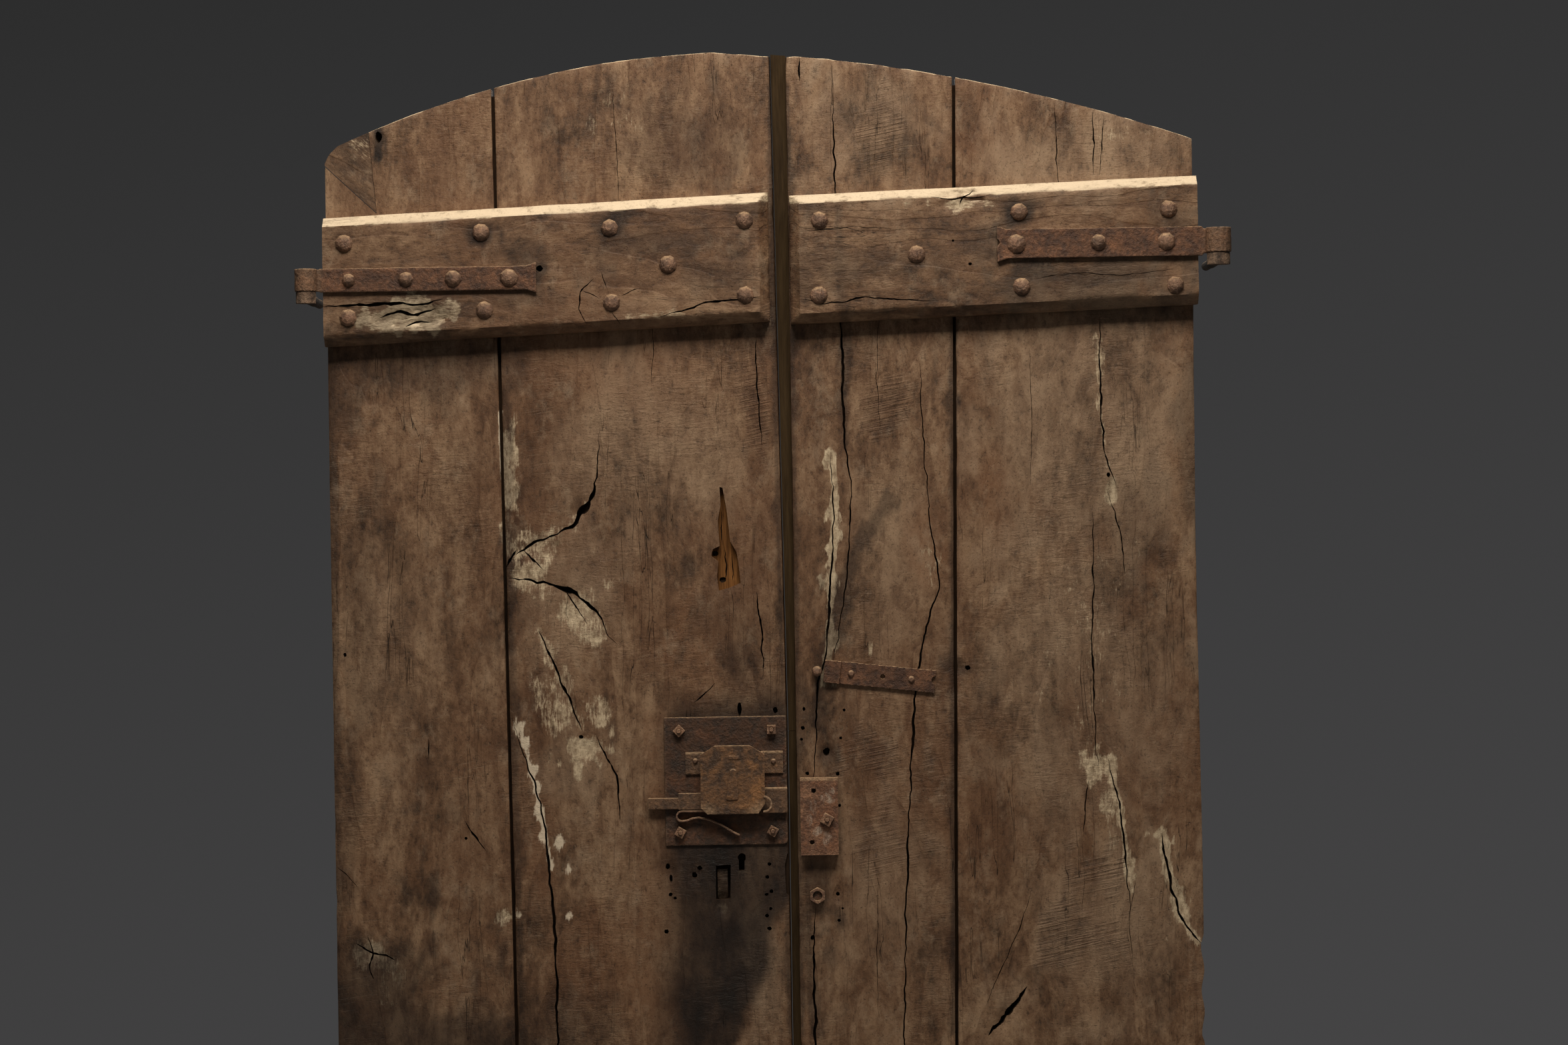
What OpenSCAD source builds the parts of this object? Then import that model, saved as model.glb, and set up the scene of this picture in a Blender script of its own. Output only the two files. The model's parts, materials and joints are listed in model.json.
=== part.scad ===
// Pair of arched plank door leaves on iron pintles, with an old rim lock.
// Millimetres. +Z is up, the front of the door faces -Y, and the origin is on
// the floor, midway between the outer sides of the hinge eyes.

/* [Leaves] */
// Height of the arch's crown above the foot of the leaves
crown_h = 2000; // [1700:10:2400]
// Width of the left leaf at its foot
left_w = 599; // [480:1:760]
// Width of the right leaf, from its outer edge to the front of its meeting edge
right_w = 535; // [430:1:700]
// Gap between the two leaves' front edges below the lock
leaf_gap = 12; // [10:0.5:20]
// Thickness of the planks
plank_t = 30; // [24:1:45]
// Open joint between two planks of one leaf
plank_gap = 3.5; // [1:0.5:6]
// How far the left leaf's meeting edge leans back at the top
meet_lean = 10; // [0:1:16]
// Height above which the meeting edge leans
lean_h = 1100; // [900:10:1300]
// How far the left leaf's meeting edge is bevelled back behind
meet_bevel = 4; // [3.5:0.5:8]
// Clear space between the left leaf's front edge and the right leaf's tongue
tongue_clear = 2; // [1.5:0.5:4]
// Thickness of the right leaf's tongue, at the back of the plank
tongue_t = 18; // [10:1:20]
// Open joint between the tongue's two lengths
tongue_joint = 0.5; // [0.2:0.1:2]
// How far the tongue's end is bevelled back behind
tongue_bevel = 3; // [2.5:0.5:6]

/* [Arch] */
// Distance of the arch's crown left of the middle of the doorway
crown_x = -60; // [-90:1:20]
// Radius of the arch over the left leaf
left_arch_r = 1330; // [1250:10:1900]
// How far that arc's centre lies right of the crown
left_arc_shift = 50; // [0:1:120]
// Radius of the arch over the right leaf
right_arch_r = 2200; // [1700:10:3000]
// How far that arc's centre lies left of the crown
right_arc_shift = 110; // [0:1:160]

/* [Plank joints] */
// Distance of the left leaf's plank joint from its outer edge, at the crown's height
left_joint_top = 223; // [160:1:300]
// The same distance at the foot
left_joint_foot = 243; // [160:1:300]
// Distance of the right leaf's plank joint from its outer edge, at the crown's height
right_joint_top = 313; // [240:1:360]
// The same distance at the foot
right_joint_foot = 337; // [240:1:360]

/* [Corner patch] */
// Width of the let-in corner piece along the arch
patch_w = 59; // [30:1:90]
// Height of the let-in corner piece, down to its point
patch_h = 109; // [60:1:120]
// How far the patch's point lies right of its top
patch_lean = 9; // [0:1:20]
// Height above the patch's point at which its slanting joint meets the leaf's edge
patch_side_h = 66; // [30:1:90]
// Open joint round the patch
patch_gap = 0.5; // [0.2:0.1:2]

/* [Battens] */
// Thickness of the battens
batten_t = 34; // [20:1:50]
// Height of the battens
batten_h = 170; // [120:1:220]
// Bevel along a batten's front edges
batten_bevel = 13; // [4:1:18]
// Distance of the left top batten's middle below the crown
batten_drop_left = 287; // [270:1:400]
// Distance of the right top batten's middle below the crown
batten_drop_right = 270; // [260:1:400]
// Height of the middle of both lower battens
batten_bottom_z = 280; // [200:5:400]
// Slope of the left top batten in degrees
slope_left = 2.4; // [0:0.1:4]
// Slope of the right top batten in degrees
slope_right = 1.95; // [0:0.1:4]
// Distance of the left battens' inner ends from the leaf's lower front edge
batten_set_left = 13.5; // [12:0.5:30]
// Distance of the right battens' inner ends from the leaf's front edge
batten_set_right = 1; // [0:0.5:20]
// How far the right battens stand out past the leaf's outer edge
batten_over = 3; // [0:0.5:6]

/* [Nails] */
// Across a batten nail's head
nail_head_d = 24; // [16:1:30]
// Height of a nail's head
nail_head_h = 8; // [4:0.5:12]
// Side of a nail's square shank
nail_side = 5; // [4:0.5:8]
// Length of a nail's clenched tip
clench = 16; // [10:1:30]
// Thickness of the clenched tip
clench_t = 4; // [3:0.5:6]
// Height of the outer rows of nails above and below a batten's middle
nail_row = 49; // [30:1:60]
// Distance of a batten's end nails from its ends
nail_inset = 32; // [24:1:60]

/* [Straps] */
// Thickness of the left straps
strap_t_left = 6; // [4:0.5:10]
// Thickness of the right straps
strap_t_right = 7; // [4:0.5:10]
// Height of the left straps' bar
bar_h_left = 32; // [24:1:44]
// Height of the right straps' bar
bar_h_right = 39; // [24:1:44]
// How much a strap's end flares, above and below
flare = 4.5; // [0:0.5:10]
// Distance of the left top strap below the middle of its batten
strap_drop_left = 11; // [0:1:20]
// Distance of the right top strap above the middle of its batten
strap_rise_right = 6; // [0:1:20]
// How far the left straps reach over the leaf
reach_left = 280; // [250:1:360]
// How far the right straps reach over the leaf
reach_right = 262; // [240:1:360]
// Distance of the outside of the left eyes from the leaf's edge
eye_out_left = 36; // [34:1:50]
// Distance of the outside of the right eyes from the leaf's edge
eye_out_right = 44; // [42:1:60]
// Height of the left eyes
eye_h_left = 30; // [20:1:44]
// Height of the right eyes
eye_h_right = 33; // [20:1:44]

/* [Pintles] */
// Diameter of the left pintles' pin
pin_d_left = 18; // [12:0.5:18]
// Diameter of the right pintles' pin
pin_d_right = 20; // [12:0.5:20]
// Diameter of a pintle's tail, where it goes into the wall
tail_d = 12; // [8:0.5:14]
// Length of the tail that goes into the wall
tail_grip = 62; // [40:1:80]

/* [Lock] */
// Width of the lock's back plate
plate_w = 162; // [140:1:200]
// Height of the lock's back plate
plate_h = 170; // [150:1:220]
// Thickness of the lock's back plate
plate_t = 3; // [2:0.5:5]
// Height of the middle of the back plate
lock_z = 1036; // [900:1:1200]
// Distance of the plate's bolts from its sides
bolt_inset_x = 20; // [14:1:26]
// Distance of the plate's bolts from its top and bottom
bolt_inset_z = 18; // [12:1:24]
// Diameter of the plate's bolts
lock_screw_d = 6; // [4:0.5:8]
// Height of the sliding bolt's tail
bolt_tail_h = 15; // [10:1:18]
// Height of the sliding bolt's middle
bolt_body_h = 22; // [19:1:26]
// Height of the sliding bolt's head
bolt_head_h = 34; // [28:1:40]
// Thickness of the sliding bolt
bolt_t = 8; // [5:0.5:10]
// Travel of the sliding bolt
bolt_travel = 35; // [20:1:38]
// Height of the space between the back plate and the cover
lock_space = 16; // [14:1:20]
// Width of the cover
cover_w = 85; // [70:1:96]
// Height of the cover
cover_h = 91; // [80:1:100]

/* [Keeper] */
// Width of the keeper on the right leaf
keeper_w = 50; // [44:1:60]
// Height of the keeper
keeper_h = 102; // [84:1:130]
// Depth of the keeper
keeper_d = 15; // [13:0.5:20]
// Thickness of the keeper's sheet
keeper_t = 3; // [1.5:0.5:4]

/* [Small iron] */
// Across the flats of the loose nut's hexagon
hex_af = 19; // [15:1:24]
// Diameter of that nut's bolt
hex_bolt_d = 12; // [8:1:14]
// Length of the old hasp strip
hasp_l = 148; // [120:1:180]
// Height of the old hasp strip
hasp_h = 30; // [20:1:36]
// Diameter of the ball-headed stud
ball_d = 14; // [8:1:18]

/* [Clearances] */
// Radial running clearance of an eye on its pin
run_clear = 0.08; // [0.02:0.01:0.1]
// Axial clearance of an eye on its pintle's shoulder
seat_clear = 0.3; // [0.2:0.1:0.8]
// Clearance round the sliding bolt
slide_clear = 0.3; // [0.2:0.1:0.6]
// Radial clearance of a bolt or rivet in its hole
hole_clear = 0.2; // [0.1:0.05:0.4]

/* [Hidden] */
$fn = 48;
ARC_FN = 360;
WOOD = "#6b523d";
PALE_WOOD = "#8d7253";
DARK_WOOD = "#3e3229";
RUST = "#5c4132";
DARK_IRON = "#3b332e";
CUT = 60; // how far a cutting solid runs past what it cuts

// Places across the doorway
eye_od_left = pin_d_left + 2 * (run_clear + strap_t_left);
eye_od_right = pin_d_right + 2 * (run_clear + strap_t_right);
total_w = eye_out_left + left_w + leaf_gap + right_w + eye_out_right;
left_edge = eye_out_left - total_w / 2;
left_meet = left_edge + left_w;
right_meet = left_meet + leaf_gap;
right_edge = right_meet + right_w;
left_axis_x = left_edge - eye_out_left + eye_od_left / 2;
right_axis_x = right_edge + eye_out_right - eye_od_right / 2;

// Places through the door's thickness
plank_front = -plank_t / 2;
plank_back = plank_t / 2;
batten_front = plank_front - batten_t;
left_axis_y = batten_front - eye_od_left / 2;
right_axis_y = batten_front - eye_od_right / 2;
tail_end_y = -min(batten_front - eye_od_left, batten_front - eye_od_right);
tongue_front = plank_back - tongue_t;

// Heights of the battens and straps: the lower ones repeat the upper ones, level
batten_top_left_z = crown_h - batten_drop_left;
batten_top_right_z = crown_h - batten_drop_right;
strap_top_left_z = batten_top_left_z - strap_drop_left;
strap_top_right_z = batten_top_right_z + strap_rise_right;
strap_bottom_z = batten_bottom_z;

// Nails, as [x, height above the batten's middle] from the leaf's own edges and joints
left_inner_end = left_meet - batten_set_left;
right_inner_end = right_meet + batten_set_right;
left_mid = (left_edge + left_inner_end) / 2;
right_mid = (right_inner_end + right_edge) / 2;
LEFT_NAILS = [
    [left_edge + nail_inset - 4, nail_row],
    [left_edge + nail_inset, -nail_row],
    [left_edge + left_joint_top - 15, nail_row + 4],
    [left_edge + left_joint_top - 12, -nail_row],
    [left_mid + 84, nail_row],
    [left_mid + 85, -nail_row],
    [left_mid + 160, -3],
    [left_inner_end - nail_inset, nail_row],
    [left_inner_end - nail_inset, -nail_row],
];
RIGHT_NAILS = [
    [right_inner_end + nail_inset + 8, nail_row],
    [right_inner_end + nail_inset + 6, -nail_row],
    [right_mid - 100, -2],
    [right_mid + 35, nail_row - 2],
    [right_mid + 37, -nail_row - 2],
    [right_edge - nail_inset - 4, nail_row - 8],
    [right_edge - nail_inset + 4, -nail_row - 10],
];
// Strap nails, as [distance from the leaf's outer edge, head diameter]
LEFT_STRAP_NAILS = [[34, 18], [109, 21], [171, 23], [reach_left - 36, 25]];
RIGHT_STRAP_NAILS = [[40, 25], [129, 22], [reach_right - 26, 26]];

// Lock, from its back plate's right side and middle height
plate_right = left_meet - 0.5;
plate_left = plate_right - plate_w;
plate_front = plank_front - plate_t;
cover_x = plate_right - 72;
cover_z = lock_z + 2.5;
cover_back = plate_front - lock_space;
cover_t = 3;
bridge_t = 3;
bridge_h = 30;
bridge_z = lock_z + 24;
bolt_z = lock_z - 26;
bolt_back = plate_front - slide_clear;
bolt_base_z = bolt_z - bolt_body_h / 2;
keeper_left = right_meet + 4;
keeper_z = bolt_z - 22;
keeper_front = plank_front - keeper_d;

// Helpers ----------------------------------------------------------------------

// A flat outline in X and Z, as thick as from y0 back to y1
module slab(y0, y1) {
    translate([0, y1, 0]) rotate([90, 0, 0]) linear_extrude(y1 - y0) children();
}

// A round bar along Y, from y0 back to y1
module rod_y(x, z, d, y0, y1) {
    translate([x, y0, z]) rotate([-90, 0, 0]) cylinder(d = d, h = y1 - y0);
}

module box(x0, x1, y0, y1, z0, z1) {
    translate([x0, y0, z0]) cube([x1 - x0, y1 - y0, z1 - z0]);
}

// Everything under the arch: the left arc and the right arc cross at the crown
module under_arch() {
    intersection() {
        arc_body(crown_x + left_arc_shift, left_arch_r, left_arc_shift);
        arc_body(crown_x - right_arc_shift, right_arch_r, right_arc_shift);
    }
}

module arc_body(x, r, shift) {
    z = crown_h - sqrt(r * r - shift * shift);
    translate([x, CUT, z]) rotate([90, 0, 0]) cylinder(r = r, h = 2 * CUT, $fn = ARC_FN);
}

// Planks ---------------------------------------------------------------------

// Centre of a plank joint at height z, as a distance from the outer edge
function joint_at(foot, top, z) = foot + (top - foot) * z / crown_h;

// The meeting edge stands upright up to lean_h, and leans back to the left above it
module leaned() {
    lean = atan(meet_lean / (crown_h - lean_h));
    translate([left_meet, 0, lean_h]) rotate([0, -lean, 0]) translate([-left_meet, 0, -lean_h]) children();
}

module left_leaf_body() {
    difference() {
        intersection() {
            box(left_edge, left_meet, plank_front, plank_back, 0, crown_h + CUT);
            under_arch();
        }
        past_left_edge();
        leaned() past_left_edge();
    }
}

// What lies past the meeting edge, whose back is taken off at a slant so that the leaf can swing out
module past_left_edge() {
    translate([0, 0, -CUT]) linear_extrude(crown_h + 3 * CUT) polygon([
        [left_meet + meet_bevel, plank_front - plank_t], [left_meet + CUT, plank_front - plank_t],
        [left_meet + CUT, plank_back + plank_t], [left_meet - 2 * meet_bevel, plank_back + plank_t]
    ]);
}

// Half planes beside the plank joint
module left_joint_side(side) {
    top = joint_at(left_joint_foot, left_joint_top, crown_h + CUT);
    slab(plank_front - CUT, plank_back + CUT) polygon([
        [left_edge + left_joint_foot + side * plank_gap / 2, 0],
        [left_edge + top + side * plank_gap / 2, crown_h + CUT],
        [side * total_w, crown_h + CUT], [side * total_w, 0]
    ]);
}

module right_joint_side(side) {
    top = joint_at(right_joint_foot, right_joint_top, crown_h + CUT);
    slab(plank_front - CUT, plank_back + CUT) polygon([
        [right_edge - right_joint_foot + side * plank_gap / 2, 0],
        [right_edge - top + side * plank_gap / 2, crown_h + CUT],
        [side * total_w, crown_h + CUT], [side * total_w, 0]
    ]);
}

// The patch's outline: an upright joint, a slanting joint and the leaf's own corner
patch_top_x = left_edge + patch_w;
patch_point_x = patch_top_x + patch_lean;
patch_point_z = batten_top_left_z + batten_h / 2 - slope_drop(slope_left, left_mid - patch_point_x) + 3;
function slope_drop(slope, run) = run * tan(slope);

module patch_body(gap) {
    past = gap > 0 ? CUT : 0;
    slab(plank_front - past, plank_back + past) polygon([
        [patch_point_x + gap, patch_point_z - 2 * gap],
        [left_edge - CUT, patch_point_z - 2 * gap + patch_side_h * (1 + CUT / (patch_w + patch_lean))],
        [left_edge - CUT, crown_h], [patch_top_x - patch_lean + gap, patch_point_z + 2 * patch_h],
        [patch_top_x + gap, patch_point_z + patch_h]
    ]);
}

module plank_left_outer() color(WOOD) difference() {
    intersection() {
        left_leaf_body();
        left_joint_side(-1);
    }
    patch_body(patch_gap);
    left_nail_holes();
}

module plank_left_inner() color(WOOD) difference() {
    intersection() {
        left_leaf_body();
        left_joint_side(1);
    }
    left_nail_holes();
    lock_screw_holes();
    old_keyhole();
    old_mortise();
}

module corner_patch() color(PALE_WOOD) intersection() {
    left_leaf_body();
    patch_body(0);
}

module plank_right_inner() color(WOOD) difference() {
    intersection() {
        box(right_meet, right_edge, plank_front, plank_back, 0, crown_h + CUT);
        under_arch();
        right_joint_side(-1);
    }
    right_nail_holes();
    rod_y(keeper_bolt_x, keeper_bolt_z, keeper_bolt_d + 2 * hole_clear, plank_front - CUT, plank_back + CUT);
    rod_y(hex_x, hex_z, hex_bolt_d + 2 * hole_clear, plank_front - CUT, plank_back + CUT);
    rod_y(ball_x, ball_z, stud_d + 2 * hole_clear, plank_front - CUT, stud_end_y);
    hasp_place() hasp_rivet_shanks(2 * hole_clear);
}

module plank_right_outer() color(WOOD) difference() {
    intersection() {
        box(right_meet, right_edge, plank_front, plank_back, 0, crown_h + CUT);
        under_arch();
        right_joint_side(1);
    }
    right_nail_holes();
}

// The tongue along the right leaf's meeting edge: an upright length, and one that leans with the left leaf
module meeting_tongue() color(WOOD) {
    difference() {
        box(left_meet, right_meet, tongue_front, plank_back, 0, lean_h - tongue_joint);
        before_tongue();
    }
    difference() {
        intersection() {
            box(left_meet - meet_lean, right_meet, tongue_front, plank_back, lean_h, crown_h + CUT);
            under_arch();
        }
        leaned() before_tongue();
    }
}

// What lies before the tongue's end, which follows the left leaf's edge and is bevelled behind
module before_tongue() {
    tip = left_meet + tongue_clear;
    bevel = tongue_bevel / tongue_t;
    translate([0, 0, -CUT]) linear_extrude(crown_h + 3 * CUT) polygon([
        [tip - bevel * plank_t, plank_back - tongue_t - plank_t], [tip - CUT, plank_back - tongue_t - plank_t],
        [tip - CUT, plank_back + plank_t], [tip + tongue_bevel + bevel * plank_t, plank_back + plank_t]
    ]);
}

// The old lock's keyhole and bolt mortise, both now unused
keyhole_x = plate_right - 62;
keyhole_z = lock_z - plate_h / 2 - 17;
keyhole_d = 10;
keyhole_slot = 17;
mortise_x = plate_right - 86.5;
mortise_w = 20;
mortise_h = 46;
mortise_z = lock_z - plate_h / 2 - 49;
mortise_depth = plank_t * 0.7;
plug_recess = 5;

module old_keyhole() {
    rod_y(keyhole_x, keyhole_z, keyhole_d, plank_front - CUT, plank_back + CUT);
    box(keyhole_x - keyhole_d * 0.38, keyhole_x + keyhole_d * 0.38, plank_front - CUT, plank_back + CUT,
        keyhole_z - keyhole_slot, keyhole_z);
}

module old_mortise() {
    box(mortise_x - mortise_w / 2, mortise_x + mortise_w / 2, plank_front - CUT,
        plank_front + mortise_depth, mortise_z - mortise_h / 2, mortise_z + mortise_h / 2);
}

module mortise_plug() color(DARK_WOOD) {
    box(mortise_x - mortise_w / 2 + 2, mortise_x + mortise_w / 2 - 4, plank_front + plug_recess,
        plank_front + mortise_depth, mortise_z - mortise_h / 2, mortise_z + mortise_h / 2 - 6);
}

// Battens --------------------------------------------------------------------

// A bevelled bar between two upright ends, sloping up to the right about its middle
module batten_bar(x0, x1, z, slope) {
    half = batten_h / 2;
    intersection() {
        translate([(x0 + x1) / 2, 0, z]) rotate([0, -slope, 0]) translate([x0 - x1, 0, 0])
            rotate([90, 0, 90]) linear_extrude(2 * (x1 - x0)) polygon([
                [plank_front, -half], [plank_front, half], [batten_front + batten_bevel, half],
                [batten_front, half - batten_bevel], [batten_front, batten_bevel - half],
                [batten_front + batten_bevel, -half]
            ]);
        box(x0, x1, batten_front - CUT, plank_front + CUT, z - 2 * batten_h, z + 2 * batten_h);
    }
}

// The meeting end of a batten is bevelled as its long edges are
module end_bevel(x, side, z) {
    translate([0, 0, z - 2 * batten_h]) linear_extrude(4 * batten_h) polygon([
        [x, batten_front + batten_bevel], [x - side * batten_bevel, batten_front],
        [x - side * batten_bevel, batten_front - CUT], [x + side * CUT, batten_front - CUT],
        [x + side * CUT, batten_front + batten_bevel]
    ]);
}

module left_batten(z, slope) color(WOOD) difference() {
    batten_bar(left_edge - 1, left_inner_end, z, slope);
    end_bevel(left_inner_end, 1, z);
    left_nail_holes();
}

module right_batten(z, slope) color(WOOD) difference() {
    batten_bar(right_inner_end, right_edge + batten_over, z, slope);
    end_bevel(right_inner_end, -1, z);
    right_nail_holes();
}

module batten_left_top() left_batten(batten_top_left_z, slope_left);
module batten_left_bottom() left_batten(batten_bottom_z, 0);
module batten_right_top() right_batten(batten_top_right_z, slope_right);
module batten_right_bottom() right_batten(batten_bottom_z, 0);

// Nails ----------------------------------------------------------------------

// A square shank from y0 to the back, clenched down over the plank's back
module shank(x, z, y0) {
    half = nail_side / 2;
    box(x - half, x + half, y0, plank_back, z - half, z + half);
}

module nail(x, z, seat_y, head_d) {
    half = nail_side / 2;
    shank(x, z, seat_y);
    box(x - half, x + half, plank_back, plank_back + clench_t, z - clench, z + half);
    translate([x, seat_y, z]) rotate([90, 0, 0]) cylinder(d1 = head_d, d2 = head_d * 0.45, h = nail_head_h);
}

function nail_z(n, z, slope, mid) = z + n[1] + (n[0] - mid) * tan(slope);

module left_batten_nails(z, slope) color(RUST)
    for (n = LEFT_NAILS) nail(n[0], nail_z(n, z, slope, left_mid), batten_front, nail_head_d);
module right_batten_nails(z, slope) color(RUST)
    for (n = RIGHT_NAILS) nail(n[0], nail_z(n, z, slope, right_mid), batten_front, nail_head_d);
module left_strap_nails(z) color(RUST)
    for (n = LEFT_STRAP_NAILS) nail(left_edge + n[0], z, batten_front - strap_t_left, n[1]);
module right_strap_nails(z) color(RUST)
    for (n = RIGHT_STRAP_NAILS) nail(right_edge - n[0], z, batten_front - strap_t_right, n[1]);

// The holes that all the shanks of one leaf go through
module left_nail_holes() {
    front = batten_front - CUT;
    for (n = LEFT_NAILS) {
        shank(n[0], nail_z(n, batten_top_left_z, slope_left, left_mid), front);
        shank(n[0], nail_z(n, batten_bottom_z, 0, left_mid), front);
    }
    for (n = LEFT_STRAP_NAILS, z = [strap_top_left_z, strap_bottom_z])
        shank(left_edge + n[0], z, front);
}

module right_nail_holes() {
    front = batten_front - CUT;
    for (n = RIGHT_NAILS) {
        shank(n[0], nail_z(n, batten_top_right_z, slope_right, right_mid), front);
        shank(n[0], nail_z(n, batten_bottom_z, 0, right_mid), front);
    }
    for (n = RIGHT_STRAP_NAILS, z = [strap_top_right_z, strap_bottom_z])
        shank(right_edge - n[0], z, front);
}

module batten_nails_left_top() left_batten_nails(batten_top_left_z, slope_left);
module batten_nails_left_bottom() left_batten_nails(batten_bottom_z, 0);
module batten_nails_right_top() right_batten_nails(batten_top_right_z, slope_right);
module batten_nails_right_bottom() right_batten_nails(batten_bottom_z, 0);
module strap_nails_left_top() left_strap_nails(strap_top_left_z);
module strap_nails_left_bottom() left_strap_nails(strap_bottom_z);
module strap_nails_right_top() right_strap_nails(strap_top_right_z);
module strap_nails_right_bottom() right_strap_nails(strap_bottom_z);

// Straps ---------------------------------------------------------------------

// A flat bar whose end flares, with its other end rolled forward into an eye.
// side is 1 where the bar runs to the right of its eye, and -1 to the left.
module strap(side, axis_x, axis_y, z, bar_end, bar_h, eye_h, eye_od, pin_d, t) {
    flare_l = 14;
    difference() {
        union() {
            slab(batten_front - t, batten_front) polygon([
                [axis_x, z - bar_h / 2], [axis_x, z + bar_h / 2],
                [bar_end - side * flare_l, z + bar_h / 2], [bar_end, z + bar_h / 2 + flare],
                [bar_end, z - bar_h / 2 - flare], [bar_end - side * flare_l, z - bar_h / 2]
            ]);
            translate([axis_x, axis_y, z - eye_h / 2]) cylinder(d = eye_od, h = eye_h);
        }
        // the bar is cut down to the eye's height beside the eye
        for (s = [-1, 1]) translate([axis_x, axis_y, z + s * (eye_h / 2 + CUT / 2)])
            cube([eye_od + 4, 3 * eye_od, CUT], center = true);
        translate([axis_x, axis_y, z - CUT]) cylinder(d = pin_d + 2 * run_clear, h = 2 * CUT);
    }
}

module left_strap(z) color(RUST) difference() {
    strap(1, left_axis_x, left_axis_y, z, left_edge + reach_left, bar_h_left, eye_h_left,
        eye_od_left, pin_d_left, strap_t_left);
    left_nail_holes();
}

module right_strap(z) color(RUST) difference() {
    strap(-1, right_axis_x, right_axis_y, z, right_edge - reach_right, bar_h_right, eye_h_right,
        eye_od_right, pin_d_right, strap_t_right);
    right_nail_holes();
    // the far end broke through an old nail hole
    rod_y(right_edge - reach_right - 1, z + 2, 9, batten_front - CUT, batten_front + 1);
}

module strap_left_top() left_strap(strap_top_left_z);
module strap_left_bottom() left_strap(strap_bottom_z);
module strap_right_top() right_strap(strap_top_right_z);
module strap_right_bottom() right_strap(strap_bottom_z);

// Pintles --------------------------------------------------------------------

// A pin in the eye, standing on a shoulder whose tail runs straight back into the wall
module pintle(x, y, z, eye_h, pin_d, eye_od) color(DARK_IRON) {
    seat_z = z - eye_h / 2 - seat_clear;
    shoulder_h = tail_d + 3;
    translate([x, y, seat_z - shoulder_h]) cylinder(d = eye_od - 4, h = shoulder_h);
    translate([x, y, seat_z - shoulder_h]) cylinder(d = pin_d, h = shoulder_h + seat_clear + eye_h - 1);
    rod_y(x, seat_z - shoulder_h / 2, tail_d, y, tail_end_y);
    rod_y(x, seat_z - shoulder_h / 2, tail_d + 2, y, tail_end_y - tail_grip);
}

module pintle_left_upper() pintle(left_axis_x, left_axis_y, strap_top_left_z, eye_h_left,
    pin_d_left, eye_od_left);
module pintle_left_lower() pintle(left_axis_x, left_axis_y, strap_bottom_z, eye_h_left,
    pin_d_left, eye_od_left);
module pintle_right_upper() pintle(right_axis_x, right_axis_y, strap_top_right_z, eye_h_right,
    pin_d_right, eye_od_right);
module pintle_right_lower() pintle(right_axis_x, right_axis_y, strap_bottom_z, eye_h_right,
    pin_d_right, eye_od_right);

// Lock -----------------------------------------------------------------------

LOCK_SCREWS = [for (sx = [-1, 1], sz = [-1, 1]) [
    (plate_left + plate_right) / 2 + sx * (plate_w / 2 - bolt_inset_x),
    lock_z + sz * (plate_h / 2 - bolt_inset_z)
]];
NUT_TURNS = [30, 45, 30, 0];
nut_side = 12;
nut_t = 7;
screw_head_t = 4;
screw_end = 3;
BRIDGE_RIVETS = [[cover_x - 49, bridge_z + 3], [cover_x + 54, bridge_z + 1]];
rivet_d = 8;

module lock_screw_holes() {
    for (p = LOCK_SCREWS)
        rod_y(p[0], p[1], lock_screw_d + 2 * hole_clear, plank_front - CUT, plank_back + CUT);
}

module lock_plate() color(RUST) difference() {
    box(plate_left, plate_right, plate_front, plank_front, lock_z - plate_h / 2, lock_z + plate_h / 2);
    lock_screw_holes();
    // the foot's meeting corner is worn round
    translate([plate_right, plank_front + CUT, lock_z - plate_h / 2]) rotate([90, 0, 0]) difference() {
        translate([-6, -6, 0]) cube([12, 12, 2 * CUT]);
        translate([-6, 6, 0]) cylinder(d = 12, h = 2 * CUT);
        translate([-6.5, 6, 0]) cube([6.5, 6, 2 * CUT]);
        translate([-12, -6, 0]) cube([6, 12, 2 * CUT]);
    }
}

module lock_plate_bolts() color(RUST) for (p = LOCK_SCREWS) {
    rod_y(p[0], p[1], lock_screw_d, plate_front - nut_t - screw_end, plank_back);
    rod_y(p[0], p[1], 2.4 * lock_screw_d, plank_back, plank_back + screw_head_t);
}

module lock_plate_nuts() color(RUST) for (i = [0 : 3]) difference() {
    translate([LOCK_SCREWS[i][0], plate_front - nut_t / 2, LOCK_SCREWS[i][1]])
        rotate([0, NUT_TURNS[i], 0]) cube([nut_side, nut_t, nut_side], center = true);
    lock_screw_holes();
    rod_y(LOCK_SCREWS[i][0], LOCK_SCREWS[i][1], lock_screw_d + 2 * hole_clear,
        plate_front - CUT, plate_front + 1);
}

// A strap whose two feet lie on the plate and whose raised middle carries the cover
module lock_bridge() color(RUST) {
    foot_left = cover_x - 62;
    foot_right = cover_x + 67;
    leg_left = cover_x - cover_w / 2 + 2;
    leg_right = cover_x + cover_w / 2 - 2;
    z0 = bridge_z - bridge_h / 2;
    z1 = bridge_z + bridge_h / 2;
    difference() {
        union() {
            box(foot_left, leg_left, plate_front - bridge_t, plate_front, z0, z1);
            box(leg_right, foot_right, plate_front - bridge_t, plate_front, z0, z1);
        }
        for (p = BRIDGE_RIVETS)
            rod_y(p[0], p[1], rivet_d / 2 + 2 * hole_clear, plate_front - CUT, plank_front);
    }
    box(leg_left, leg_left + bridge_t, cover_back, plate_front, z0, z1);
    box(leg_right - bridge_t, leg_right, cover_back, plate_front, z0, z1);
    box(leg_left, leg_right, cover_back, cover_back + bridge_t, z0, z1);
}

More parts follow.
